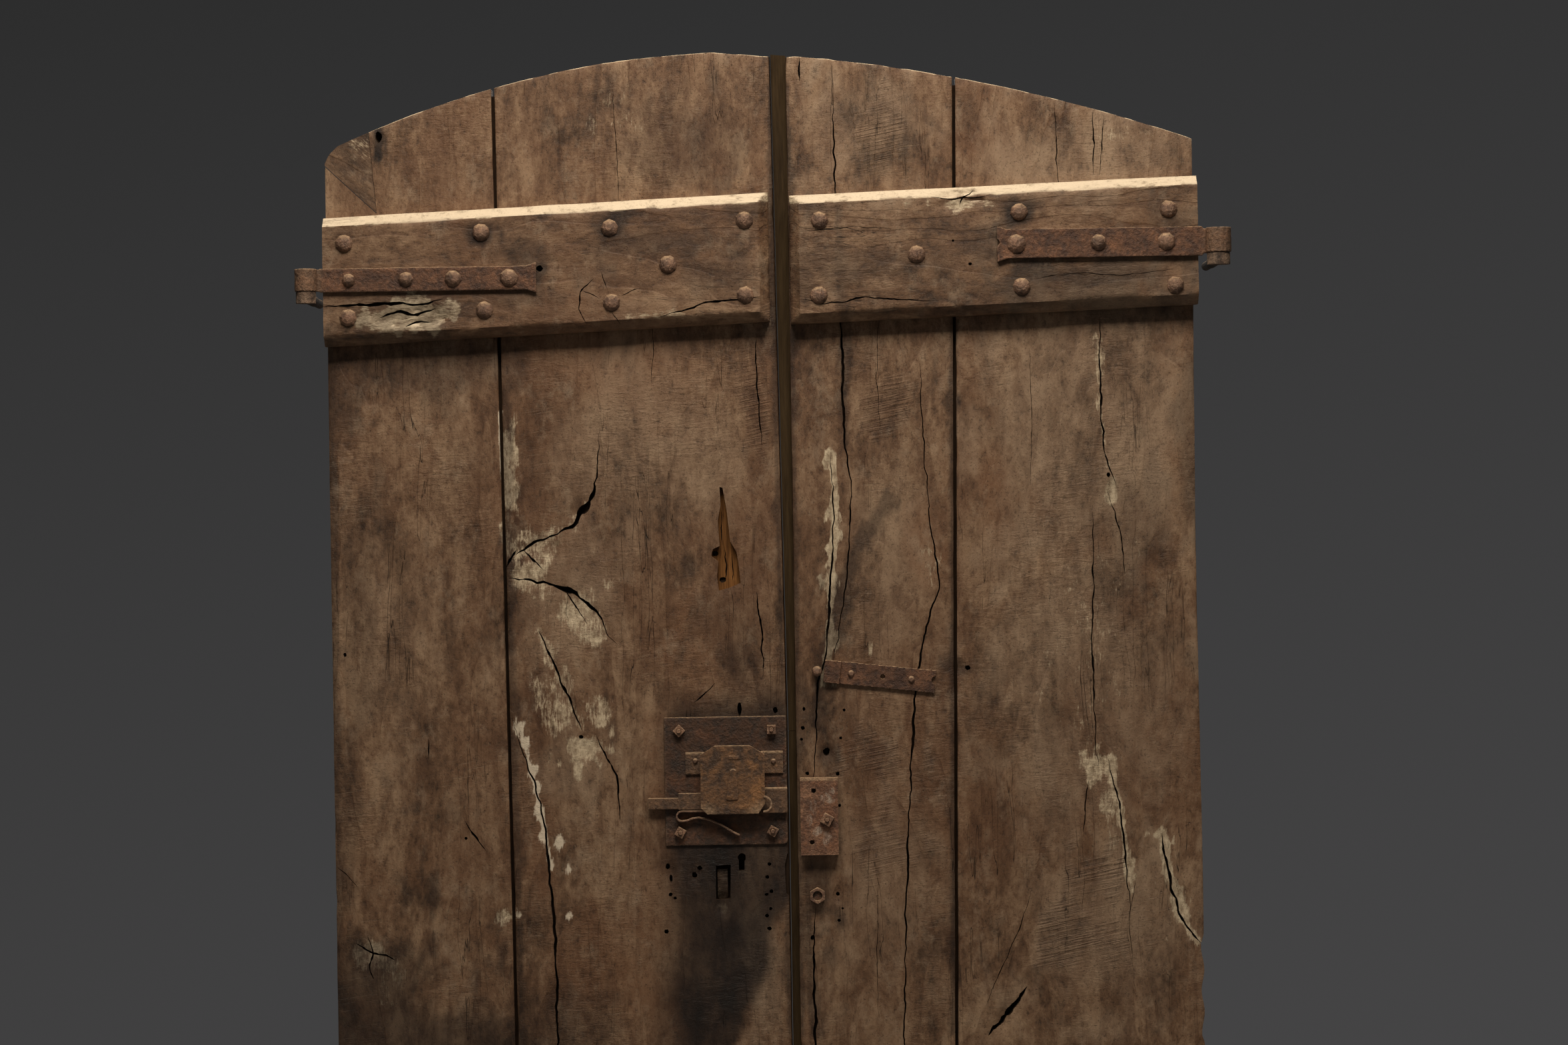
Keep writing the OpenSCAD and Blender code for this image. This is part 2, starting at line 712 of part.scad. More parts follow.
module lock_bridge_rivets() color(RUST) for (p = BRIDGE_RIVETS) {
    rod_y(p[0], p[1], rivet_d / 2, plate_front - bridge_t - 1, plate_front);
    translate([p[0], plate_front - bridge_t, p[1]]) rotate([90, 0, 0])
        cylinder(d1 = rivet_d, d2 = rivet_d * 0.5, h = 3);
}

// The cover plate, with a raised bar and a raised pear-shaped boss on its face
module lock_cover() color(RUST) {
    w = cover_w / 2;
    h = cover_h / 2;
    shoulder = 20;
    shoulder_h = 12;
    foot = 9;
    translate([cover_x, 0, cover_z]) {
        slab(cover_back - cover_t, cover_back) polygon([
            [-w, h - shoulder_h], [shoulder - w, h], [w - shoulder, h], [w, h - shoulder_h],
            [w, foot * 1.5 - h], [w - foot, -h], [foot - w, -h], [-w, foot - h]
        ]);
        slab(cover_back - cover_t - 2, cover_back - cover_t) {
            translate([1, 9]) circle(r = 5);
            polygon([[-4, 9], [6, 9], [7, -26], [-9, -26]]);
        }
        slab(cover_back - cover_t - 1, cover_back - cover_t) translate([-5, 27]) square([15, 4]);
    }
}

// The sliding bolt: a thin tail to push, a deeper middle and a deep head
module lock_bolt() color(RUST) {
    tail_left = cover_x - 112.5;
    body_left = cover_x - 72;
    head_left = cover_x + 41;
    y0 = bolt_back - bolt_t;
    box(tail_left, body_left, y0 + 1, bolt_back, bolt_base_z + 1, bolt_base_z + 1 + bolt_tail_h);
    box(body_left, head_left, y0, bolt_back, bolt_base_z, bolt_base_z + bolt_body_h);
    box(head_left, plate_right, y0, bolt_back, bolt_z - bolt_head_h / 2, bolt_z + bolt_head_h / 2);
}

// A staple over the bolt, hidden by the cover
guide_x = cover_x + 14;
guide_w = 10;
guide_t = 3;
module lock_bolt_guide() color(RUST) difference() {
    box(guide_x, guide_x + guide_w, bolt_back - bolt_t - slide_clear - guide_t, plate_front,
        bolt_base_z - slide_clear - guide_t, bolt_base_z + bolt_body_h + slide_clear + guide_t);
    box(guide_x - 1, guide_x + guide_w + 1, bolt_back - bolt_t - slide_clear, plate_front + 1,
        bolt_base_z - slide_clear, bolt_base_z + bolt_body_h + slide_clear);
}

// A hairpin of flat spring: its upper arm lies under the bolt and its lower arm ends on the plate
spring_t = 2.4;
spring_w = 8;
spring_r = 6.5;
spring_z = bolt_base_z - 0.8 - spring_r - spring_t / 2;
SPRING_LINE = concat(
    [[58, spring_r]], [for (a = [90 : 15 : 270]) spring_r * [cos(a), sin(a)]],
    [[7, -5.8], [14, -3], [23, -2], [36, -5], [52, -12], [68, -22], [76, -26]]
);
module lock_spring() color(RUST) translate([cover_x - 68, 0, spring_z])
    slab(plate_front - spring_w, plate_front) ribbon(SPRING_LINE, spring_t);

// A band of thickness t along a chain of points
module ribbon(p, t) {
    n = len(p) - 1;
    function dir(i) = let (a = p[max(i - 1, 0)], b = p[min(i + 1, n)]) (b - a) / norm(b - a);
    function side(i, s) = p[i] + s * t / 2 * [-dir(i)[1], dir(i)[0]];
    polygon(concat([for (i = [0 : n]) side(i, 1)], [for (i = [n : -1 : 0]) side(i, -1)]));
}

// Keeper and small iron on the right leaf -------------------------------------

keeper_bolt_d = 6;
keeper_bolt_x = keeper_left + 35;
keeper_bolt_z = keeper_z - 4;
KEEPER_HOLES = [[keeper_left + 18, keeper_z + 34], [keeper_left + 15, keeper_z - 34]];

// A bent sheet box, open behind and towards the lock
module keeper() color(RUST) difference() {
    z0 = keeper_z - keeper_h / 2;
    z1 = keeper_z + keeper_h / 2;
    box(keeper_left, keeper_left + keeper_w, keeper_front, plank_front, z0, z1);
    box(keeper_left - 1, keeper_left + keeper_w - keeper_t, keeper_front + keeper_t, plank_front + 1,
        z0 + keeper_t, z1 - keeper_t);
    rod_y(keeper_bolt_x, keeper_bolt_z, keeper_bolt_d + 2 * hole_clear, keeper_front - 1, plank_front);
    for (p = KEEPER_HOLES) rod_y(p[0], p[1], 6, keeper_front - 1, plank_front);
}

module keeper_bolt() color(RUST) {
    rod_y(keeper_bolt_x, keeper_bolt_z, keeper_bolt_d, keeper_front - nut_t - 3, plank_back);
    rod_y(keeper_bolt_x, keeper_bolt_z, 2.4 * keeper_bolt_d, plank_back, plank_back + screw_head_t);
}

module keeper_nut() color(RUST) difference() {
    translate([keeper_bolt_x, keeper_front - nut_t / 2, keeper_bolt_z]) rotate([0, 30, 0])
        cube([nut_side + 2, nut_t, nut_side + 2], center = true);
    rod_y(keeper_bolt_x, keeper_bolt_z, keeper_bolt_d + 2 * hole_clear, keeper_front - CUT, plank_front);
}

hex_x = right_meet + 25;
hex_z = lock_z - 153;
hex_nut_t = 10;
module hex_bolt() color(RUST) {
    rod_y(hex_x, hex_z, hex_bolt_d, plank_front - hex_nut_t + 3, plank_back);
    rod_y(hex_x, hex_z, 1.9 * hex_bolt_d, plank_back, plank_back + screw_head_t);
}

module hex_nut() color(RUST) difference() {
    translate([hex_x, plank_front, hex_z]) rotate([90, 30, 0])
        cylinder(d = hex_af / cos(30), h = hex_nut_t, $fn = 6);
    rod_y(hex_x, hex_z, hex_bolt_d + 2 * hole_clear, plank_front - CUT, plank_front + CUT);
}

ball_x = right_meet + 29;
ball_z = lock_z + 143;
stud_d = 6;
stud_end_y = plank_front + 22;
module ball_stud() color(RUST) {
    rod_y(ball_x, ball_z, stud_d, plank_front - ball_d / 2, stud_end_y - 1);
    translate([ball_x, plank_front - ball_d / 2 - 1, ball_z]) sphere(d = ball_d);
}

// What is left of an old hasp: a strip folded back at its near end, slightly tipped
hasp_t = 4;
hasp_tip = 6.4;
fold_l = 22;
hasp_rivet_d = 5;
HASP_RIVETS = [36, 116];
module hasp_place() translate([right_meet + 38, 0, lock_z + 143]) rotate([0, hasp_tip, 0]) children();

module hasp_rivet_shanks(grow) for (x = HASP_RIVETS)
    rod_y(x, 0, hasp_rivet_d + grow, plank_front - hasp_t - 1, plank_back - 6 + grow);

module hasp() color(RUST) hasp_place() difference() {
    union() {
        box(0, hasp_l, plank_front - hasp_t, plank_front, -hasp_h / 2, hasp_h / 2);
        box(0, fold_l, plank_front - 2 * hasp_t, plank_front - hasp_t, -hasp_h / 2, hasp_h / 2);
    }
    hasp_rivet_shanks(2 * hole_clear);
    rod_y((HASP_RIVETS[0] + HASP_RIVETS[1]) / 2 + 2, 0, 6, plank_front - CUT, plank_front + CUT);
    rod_y(hasp_l, 2, 10, plank_front - CUT, plank_front + CUT);
}

module hasp_rivets() color(RUST) hasp_place() {
    hasp_rivet_shanks(0);
    for (x = HASP_RIVETS) translate([x, plank_front - hasp_t, 0]) rotate([90, 0, 0])
        cylinder(d1 = 10, d2 = 5, h = 3.5);
}

plank_left_outer();
plank_left_inner();
corner_patch();
mortise_plug();
batten_left_top();
batten_left_bottom();
batten_nails_left_top();
batten_nails_left_bottom();
strap_left_top();
strap_left_bottom();
strap_nails_left_top();
strap_nails_left_bottom();
lock_plate();
lock_plate_bolts();
lock_plate_nuts();
lock_bridge();
lock_bridge_rivets();
lock_cover();
lock_bolt();
lock_bolt_guide();
lock_spring();
plank_right_inner();
plank_right_outer();
meeting_tongue();
batten_right_top();
batten_right_bottom();
batten_nails_right_top();
batten_nails_right_bottom();
strap_right_top();
strap_right_bottom();
strap_nails_right_top();
strap_nails_right_bottom();
keeper();
keeper_bolt();
keeper_nut();
hasp();
hasp_rivets();
ball_stud();
hex_bolt();
hex_nut();
pintle_left_upper();
pintle_left_lower();
pintle_right_upper();
pintle_right_lower();
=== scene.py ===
import json
import math

import bmesh
import bpy
import numpy as np
from mathutils import Matrix, Vector


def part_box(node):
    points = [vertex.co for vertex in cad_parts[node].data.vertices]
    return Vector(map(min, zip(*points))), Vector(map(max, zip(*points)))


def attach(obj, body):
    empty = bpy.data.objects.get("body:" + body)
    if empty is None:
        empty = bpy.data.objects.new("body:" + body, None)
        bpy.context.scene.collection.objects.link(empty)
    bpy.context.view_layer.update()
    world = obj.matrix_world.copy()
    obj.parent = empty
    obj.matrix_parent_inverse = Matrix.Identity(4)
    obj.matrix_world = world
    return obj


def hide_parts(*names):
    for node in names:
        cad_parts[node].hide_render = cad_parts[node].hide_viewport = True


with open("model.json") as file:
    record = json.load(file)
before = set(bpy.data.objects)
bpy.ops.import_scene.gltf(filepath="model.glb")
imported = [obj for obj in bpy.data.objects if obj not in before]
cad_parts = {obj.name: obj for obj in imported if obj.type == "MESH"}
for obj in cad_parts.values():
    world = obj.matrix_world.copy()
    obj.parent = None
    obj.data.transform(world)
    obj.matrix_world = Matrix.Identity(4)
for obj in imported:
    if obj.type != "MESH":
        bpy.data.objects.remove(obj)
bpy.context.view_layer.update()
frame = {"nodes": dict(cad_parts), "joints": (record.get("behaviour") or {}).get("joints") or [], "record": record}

# The looks of an arched plank door in two leaves. Lengths are in millimetres until a mesh is made.
# The front of the door faces -Y, +X is to the right and the sill is at z = 0.

MM = 0.001


def box_mm(node):
    """Lowest and highest corner of a CAD node, in millimetres."""
    low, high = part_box(node)
    return np.array(low) / MM, np.array(high) / MM


# Sizes that the frame gives
LEFT_EDGE = box_mm("plank_left_outer")[0][0]
RIGHT_EDGE = box_mm("plank_right_outer")[1][0]
LEFT_MEET = box_mm("plank_left_inner")[1][0]
RIGHT_MEET = box_mm("plank_right_inner")[0][0]
FRONT = box_mm("plank_left_inner")[0][1]
BACK = box_mm("plank_left_inner")[1][1]
BATTEN_FRONT = box_mm("batten_left_top")[0][1]
CROWN_Z = box_mm("plank_left_inner")[1][2]

# The arch: two arcs that meet at the crown
CROWN_X = -60.0
LEFT_ARCH_R = 1330.0
LEFT_SHIFT = 50.0
RIGHT_ARCH_R = 2200.0
RIGHT_SHIFT = 110.0

# Joints between the planks, at the sill and at the crown's height
LEFT_JOINT = (-334.0, -354.0)
RIGHT_JOINT = (232.0, 256.0)
PLANK_GAP = 3.5
LEAN_Z = 1100.0
LEAN = 10.0
MEET_BEVEL = 4.0

# The battens: height, bevel and how far each top batten climbs to the right
BATTEN_H = 170.0
BATTEN_BEVEL = 13.0
LEFT_SLOPE = math.tan(math.radians(2.4))
RIGHT_SLOPE = math.tan(math.radians(1.95))


# Noise ----------------------------------------------------------------------

THROUGH = 1e6  # a cell so deep that the noise is the same all through the wood


def hashed(cells, seed):
    """A repeatable number from -1 to 1 for each whole-numbered cell."""
    mixed = cells[:, 0] * 73856093 ^ cells[:, 1] * 19349663 ^ cells[:, 2] * 83492791 ^ seed * 40503
    mixed = (mixed ^ (mixed >> 13)) * 1274126177
    mixed = (mixed ^ (mixed >> 16)) & 0xFFFFFF
    return mixed / 0x7FFFFF - 1.0


def noise(points, cell, seed):
    """Smooth noise from -1 to 1, with one value at each corner of cells of the given size."""
    place = points / np.asarray(cell, float)
    base = np.floor(place).astype(np.int64)
    part = place - base
    part = part * part * (3 - 2 * part)
    total = np.zeros(len(points))
    for corner in range(8):
        step = np.array([corner & 1, corner >> 1 & 1, corner >> 2 & 1])
        weight = np.prod(np.where(step, part, 1 - part), axis=1)
        total += weight * hashed(base + step, seed)
    return total


def rough(points, cell, seed, octaves=3):
    """Noise summed over cells that halve in size."""
    cell = np.asarray(cell, float)
    total = np.zeros(len(points))
    for level in range(octaves):
        total += noise(points, cell / 2 ** level, seed + 7 * level) / 2 ** level
    return total / (2 - 2 ** (1 - octaves))


def smooth(value, low, high):
    """0 below low, 1 above high and a soft step between."""
    t = np.clip((value - low) / (high - low), 0, 1)
    return t * t * (3 - 2 * t)


# Meshes ---------------------------------------------------------------------

WELD = 1e-6  # points this near each other, in metres, are one point


def link(name, mesh):
    piece = bpy.data.objects.new(name, mesh)
    bpy.context.scene.collection.objects.link(piece)
    return piece


def mesh_piece(name, points, faces, *materials):
    """A piece from points in millimetres and lists of corner numbers."""
    mesh = bpy.data.meshes.new(name)
    mesh.from_pydata((np.asarray(points) * MM).tolist(), [], [list(map(int, f)) for f in faces])
    mesh.update()
    for material in materials:
        mesh.materials.append(material)
    return link(name, mesh)


def points_of(piece):
    """The piece's points in millimetres."""
    co = np.zeros(len(piece.data.vertices) * 3)
    piece.data.vertices.foreach_get("co", co)
    return co.reshape(-1, 3) / MM


def set_points(piece, points):
    piece.data.vertices.foreach_set("co", (points * MM).ravel())
    piece.data.update()


def normals_of(piece):
    normals = np.zeros(len(piece.data.vertices) * 3)
    piece.data.vertices.foreach_get("normal", normals)
    return normals.reshape(-1, 3)


def bake_modifiers(piece):
    """Replaces the piece's mesh with what its modifiers make of it."""
    graph = bpy.context.evaluated_depsgraph_get()
    mesh = bpy.data.meshes.new_from_object(piece.evaluated_get(graph))
    piece.modifiers.clear()
    piece.data = mesh


def round_edges(piece, width, **settings):
    """Rounds the piece's edges by a width in millimetres."""
    rounding = piece.modifiers.new("rubbed", "BEVEL")
    rounding.width = width * MM
    rounding.segments = 2
    for name, value in settings.items():
        setattr(rounding, name, value)
    bake_modifiers(piece)


def shade(piece, angle):
    """Smooth shading, with edges over the angle in degrees left sharp."""
    piece.data.polygons.foreach_set("use_smooth", [True] * len(piece.data.polygons))
    piece.data.set_sharp_from_angle(angle=math.radians(angle))


def box_grid(us, vs, ws):
    """Points on the skin of a box, at the given shares of its width, depth and height, with its faces."""
    counts = (len(us), len(vs), len(ws))
    i, j, k = np.meshgrid(*[np.arange(n) for n in counts], indexing="ij")
    skin = (i == 0) | (i == counts[0] - 1) | (j == 0) | (j == counts[1] - 1) | (k == 0) | (k == counts[2] - 1)
    number = -np.ones(counts, int)
    number[skin] = np.arange(skin.sum())
    points = np.stack([us[i[skin]], vs[j[skin]], ws[k[skin]]], axis=1)
    sides = [(number[0], True), (number[-1], False), (number[:, 0], False), (number[:, -1], True),
             (number[:, :, 0], True), (number[:, :, -1], False)]
    return points, np.concatenate([quads(grid, turned) for grid, turned in sides])


def quads(grid, turned):
    """Four-sided faces over a grid of point numbers."""
    corners = [grid[:-1, :-1], grid[1:, :-1], grid[1:, 1:], grid[:-1, 1:]]
    if turned:
        corners.reverse()
    return np.stack([c.ravel() for c in corners], axis=1)


def shares(length, cell, rim=(0.0, 1.3, 3.2)):
    """Shares of a length, evenly spaced inside and closer together at both rims."""
    inside = np.linspace(rim[-1] + cell / 2, length - rim[-1] - cell / 2, max(3, int(length / cell)))
    places = np.concatenate([rim, inside, length - np.array(rim[::-1])])
    return places / length


def tube_faces(sides, rings):
    """Faces of a closed tube whose points come ring by ring."""
    faces = [list(range(sides)), list(range(rings * sides - 1, (rings - 1) * sides - 1, -1))]
    for ring in range(0, (rings - 1) * sides, sides):
        faces += [[ring + c, ring + (c + 1) % sides, ring + sides + (c + 1) % sides, ring + sides + c]
                  for c in range(sides)]
    return faces


def join(name, parts):
    """One piece from several lists of points and faces."""
    points = []
    faces = []
    for part_points, part_faces in parts:
        faces += [[corner + len(points) for corner in face] for face in part_faces]
        points += list(part_points)
    return mesh_piece(name, np.array(points), faces)


def face_outwards(piece):
    bm = bmesh.new()
    bm.from_mesh(piece.data)
    bmesh.ops.recalc_face_normals(bm, faces=bm.faces)
    bm.to_mesh(piece.data)
    bm.free()


# Cutters for cracks and holes -----------------------------------------------

CLEAR = 3.0  # how far a cutter stands out in front of the wood
CRACK_STEP = 4.0


def followed(chain, wander, seed):
    """Points along a given chain, straying from it like a crack in wood."""
    chain = np.array(chain, float)
    lengths = np.concatenate([[0], np.cumsum(np.linalg.norm(np.diff(chain, axis=0), axis=1))])
    at = np.linspace(0, lengths[-1], max(4, int(lengths[-1] / CRACK_STEP)))
    line = np.stack([np.interp(at, lengths, chain[:, axis]) for axis in (0, 1)], axis=1)
    soft = line.copy()
    soft[1:-1] = (line[:-2] + line[1:-1] + line[2:]) / 3
    stray = rough(np.stack([at, at * 0, at * 0], axis=1), (15, 1, 1), seed, 4)
    aside = np.gradient(soft, axis=0)
    aside /= np.linalg.norm(aside, axis=1)[:, None] + 1e-9
    ends = np.minimum(1, np.minimum(at, lengths[-1] - at) / 12)
    soft += np.stack([aside[:, 1], -aside[:, 0]], axis=1) * (stray * wander * ends)[:, None]
    return soft, at / lengths[-1]


def crack_cutter(chain, width, depth, front, seed):
    """A thin wedge that follows the chain, pointed at both ends, open in front and closed inside."""
    line, along = followed([c[:2] for c in chain], 1.4 + 0.4 * width, seed)
    steps = np.linalg.norm(np.diff([c[:2] for c in chain], axis=0), axis=1)
    given = np.concatenate([[0], np.cumsum(steps)]) / steps.sum()
    width = width * np.interp(along, given, [c[2] if len(c) > 2 else 1.0 for c in chain])
    run = np.gradient(line, axis=0)
    run /= np.linalg.norm(run, axis=1)[:, None] + 1e-9
    aside = np.stack([run[:, 1], -run[:, 0]], axis=1)
    uneven = 1 + 0.7 * rough(np.stack([along * 900, along * 0, along * 0], axis=1), (40, 1, 1), seed + 3)
    taper = np.clip(np.sin(np.pi * np.clip(along, 0.004, 0.996)), 0, 1) ** 0.5
    half = np.maximum(0.12, width / 2 * uneven * taper)
    deep = front + depth * (0.35 + 0.65 * taper)
    points = []
    for p, side, h, y in zip(line, aside, half, deep):
        for sign, share, level in ((-1, 1.25, front - CLEAR), (1, 1.25, front - CLEAR), (1, 0.3, y),
                                   (-1, 0.3, y)):
            points.append((p[0] + sign * share * h * side[0], level, p[1] + sign * share * h * side[1]))
    return points, tube_faces(4, len(line))


def hole_cutter(x, z, wide, high, depth, front, seed):
    """A slightly ragged hole, narrower inside."""
    sides = 11
    points = []
    for level, share in ((front - CLEAR, 1.08), (front + depth * 0.5, 0.95), (front + depth, 0.7)):
        for corner in range(sides):
            turn = 2 * math.pi * corner / sides
            ragged = share * (1 + 0.16 * hashed(np.array([[corner, seed, 5]]), seed)[0])
            across = wide / 2 * ragged * math.cos(turn)
            up = high / 2 * ragged * math.sin(turn)
            points.append((x + across, level, z + up))
    return points, tube_faces(sides, 3)


def slab_cutter(outline, low_y, high_y):
    """A prism over an outline of (x, z) points."""
    return [(x, y, z) for y in (low_y, high_y) for x, z in outline], tube_faces(len(outline), 2)


def carve(piece, cutters, inside, operation="DIFFERENCE"):
    """Cuts each cutter out of the piece, and gives the cut faces the inside material."""
    tools = []
    for number, shape in enumerate(cutters):
        tool = mesh_piece(f"cutter_{number}", *shape, inside)
        face_outwards(tool)
        tools.append(tool)
        modifier = piece.modifiers.new("carve", "BOOLEAN")
        modifier.operation = operation
        modifier.object = tool
        modifier.solver = "MANIFOLD"
        modifier.material_mode = "TRANSFER"
    bpy.context.view_layer.update()
    bake_modifiers(piece)
    for tool in tools:
        bpy.data.objects.remove(tool)


# Node building --------------------------------------------------------------

def put(tree, kind, inputs=None, **settings):
    """Adds a node with its settings, and links or sets its inputs."""
    new = tree.nodes.new(kind)
    for name, value in settings.items():
        setattr(new, name, value)
    for key, value in (inputs or {}).items():
        if isinstance(value, bpy.types.NodeSocket):
            tree.links.new(value, new.inputs[key])
        else:
            new.inputs[key].default_value = value
    return new


def place(tree, group, inputs):
    """Places a node group in a material with that material's own values."""
    return put(tree, "ShaderNodeGroup", inputs, node_tree=group).outputs


def scaled(tree, vector, scale):
    """The vector with each direction scaled by its own number."""
    return put(tree, "ShaderNodeVectorMath", {0: vector, 1: scale}, operation="MULTIPLY").outputs[0]


def noise_of(tree, vector, scale, detail=4.0, roughness=0.6, distortion=0.0):
    """Noise with so many cells to the metre in each direction."""
    inputs = {"Vector": scaled(tree, vector, scale), "Scale": 1.0, "Detail": detail, "Roughness": roughness,
              "Distortion": distortion}
    return put(tree, "ShaderNodeTexNoise", inputs).outputs["Fac"]


def ranged(tree, value, low, high, to_low=0.0, to_high=1.0):
    """The value's stretch from low to high, laid over another stretch and held there."""
    inputs = {"Value": value, "From Min": low, "From Max": high, "To Min": to_low, "To Max": to_high}
    return put(tree, "ShaderNodeMapRange", inputs, clamp=True).outputs["Result"]


def math_of(tree, operation, a, b=0.0):
    return put(tree, "ShaderNodeMath", {0: a, 1: b}, operation=operation).outputs[0]


def times(tree, a, b):
    return math_of(tree, "MULTIPLY", a, b)


def weighed(tree, parts):
    """Sum of values, each times its share."""
    total = times(tree, *parts[0])
    for value, share in parts[1:]:
        total = math_of(tree, "ADD", total, times(tree, value, share))
    return total


def mixed(tree, factor, a, b, blend="MIX"):
    """One colour laid over another."""
    new = put(tree, "ShaderNodeMix", data_type="RGBA", blend_type=blend)
    for socket, value in ((new.inputs[0], factor), (new.inputs[6], a), (new.inputs[7], b)):
        if isinstance(value, bpy.types.NodeSocket):
            tree.links.new(value, socket)
        elif isinstance(value, tuple):
            socket.default_value = (*value, 1.0)
        else:
            socket.default_value = value
    return new.outputs[2]


def overlaid(tree, colour, mask, share, tone, blend="MIX"):
    """A tone laid over the colour, up to a share of it where the mask is full."""
    return mixed(tree, ranged(tree, mask, 0, 1, 0, share), colour, tone, blend)


def new_group(name, *inputs):
    """A node group with named inputs, and the sockets that give them inside it."""
    group = bpy.data.node_groups.new(name, "ShaderNodeTree")
    for socket in inputs:
        kind = "NodeSocketVector" if socket == "Vector" else "NodeSocketFloat"
        group.interface.new_socket(name=socket, in_out="INPUT", socket_type=kind)
    return group, group.nodes.new("NodeGroupInput").outputs


def put_out(group, values):
    """Gives the group an output for each named value."""
    for name in values:
        group.interface.new_socket(name=name, in_out="OUTPUT", socket_type="NodeSocketFloat")
    made = group.nodes.new("NodeGroupOutput")
    for name, value in values.items():
        group.links.new(value, made.inputs[name])
    return group


def grain_group():
    """Wood whose grain runs along Z: streaks, figure lines, cloudy patches, flecks and fine drying cracks."""
    group, given = new_group("wood_grain", "Vector", "Waviness")
    here = given["Vector"]
    drift = put(group, "ShaderNodeTexNoise", {"Vector": scaled(group, here, (6, 6, 2.2)), "Scale": 1.0,
                                              "Detail": 4.0}).outputs["Color"]
    centred = put(group, "ShaderNodeVectorMath", {0: drift, 1: (0.5, 0.5, 0.5)}, operation="SUBTRACT")
    stray = put(group, "ShaderNodeVectorMath", {0: centred.outputs[0], "Scale": given["Waviness"]},
                operation="SCALE")
    bent = put(group, "ShaderNodeVectorMath", {0: here, 1: stray.outputs[0]}, operation="ADD").outputs[0]
    saw = math_of(group, "FRACT", times(group, noise_of(group, bent, (6.5, 6.5, 1.5), 3, 0.5), 11.0))
    line = math_of(group, "SUBTRACT", noise_of(group, bent, (46, 46, 1.6), 3, 0.55), 0.5)
    thin = ranged(group, math_of(group, "ABSOLUTE", line), 0.0, 0.004, 1.0, 0.0)
    dry = ranged(group, noise_of(group, here, (9, 9, 3), 4, 0.65), 0.53, 0.64)
    return put_out(group, {
        "Streaks": weighed(group, [(noise_of(group, bent, (330, 330, 22), 5, 0.7), 0.45),
                                   (noise_of(group, bent, (70, 70, 4), 5, 0.65), 0.55)]),
        "Figure": times(group, ranged(group, saw, 0.0, 0.05), ranged(group, saw, 0.05, 0.6, 1.0, 0.0)),
        "Clouds": weighed(group, [(noise_of(group, here, (8, 8, 4), 8, 0.66, 0.6), 0.6),
                                  (noise_of(group, here, (36, 36, 17), 7, 0.68, 0.4), 0.4)]),
        "Flecks": noise_of(group, bent, (120, 120, 75), 7, 0.74),
        "Hair cracks": times(group, thin, dry)})


def slanting_lines(group, vector, slant, scale):
    """Long thin noise across the grain."""
    turned = put(group, "ShaderNodeMapping", {"Vector": vector, "Rotation": (0, slant, 0)}).outputs[0]
    return noise_of(group, turned, scale, 3, 0.6, 0.3)


def grime_group():
    """What lies on old wood: dusty patches, grains of dirt, slanting scratches and saw marks."""
    group, given = new_group("grime", "Vector")
    here = given["Vector"]
    lines = ranged(group, slanting_lines(group, here, 0.14, (26, 30, 700)), 0.6, 0.72)
    scratched = ranged(group, noise_of(group, here, (12, 12, 10), 4, 0.65), 0.52, 0.64)
    worked = ranged(group, noise_of(group, here, (6, 6, 5), 4, 0.6), 0.47, 0.6)
    return put_out(group, {
        "Dust": ranged(group, noise_of(group, here, (32, 32, 22), 8, 0.74), 0.53, 0.68),
        "Dirt grains": ranged(group, noise_of(group, here, (430, 430, 330), 4, 0.65), 0.57, 0.72),
        "Scratches": times(group, lines, scratched),
        "Kerfs": ranged(group, slanting_lines(group, here, 0.2, (20, 30, 400)), 0.42, 0.6),
        "Stains": ranged(group, noise_of(group, here, (5, 5, 2.6), 5, 0.6, 0.4), 0.47, 0.62),
        "Crinkles": times(group, noise_of(group, here, (55, 55, 190), 4, 0.6, 0.8), worked)})


def ragged_group():
    """Breaks the soft rim of a painted mask into an uneven one."""
    group, given = new_group("ragged_mask", "Mask", "Vector", "Break")
    mask = given["Mask"]
    speck = weighed(group, [(noise_of(group, given["Vector"], (420, 420, 70), 5, 0.7), 0.45),
                            (noise_of(group, given["Vector"], (52, 52, 36), 7, 0.74), 0.55)])
    stray = times(group, math_of(group, "SUBTRACT", speck, 0.5), given["Break"])
    uneven = ranged(group, math_of(group, "ADD", mask, stray), 0.33, 0.62)
    return put_out(group, {"Mask": times(group, uneven, ranged(group, mask, 0.02, 0.12))})


def rust_group():
    """Rusted iron: blotches, a bloom of lighter rust, scale that flakes and small pits."""
    group, given = new_group("rust", "Vector")
    here = given["Vector"]
    return put_out(group, {
        "Blotches": noise_of(group, here, (70, 70, 70), 6, 0.62),
        "Bloom": ranged(group, noise_of(group, here, (38, 38, 38), 7, 0.7), 0.5, 0.66),
        "Flakes": ranged(group, noise_of(group, here, (240, 240, 240), 5, 0.6), 0.4, 0.62),
        "Pits": ranged(group, noise_of(group, here, (900, 900, 900), 3, 0.6), 0.35, 0.65)})


def wear_group():
    """Edges rubbed bright, from how sharply the surface turns."""
    group, given = new_group("edge_wear", "Vector", "Reach")
    turn = put(group, "ShaderNodeNewGeometry").outputs["Pointiness"]
    edge = ranged(group, turn, math_of(group, "SUBTRACT", 0.56, given["Reach"]), 0.6)
    speck = ranged(group, noise_of(group, given["Vector"], (120, 120, 120), 5, 0.65), 0.35, 0.6)
    return put_out(group, {"Wear": times(group, edge, speck)})


GRAIN = grain_group()
GRIME = grime_group()
RAGGED = ragged_group()
RUST = rust_group()
WEAR = wear_group()


# Materials ------------------------------------------------------------------

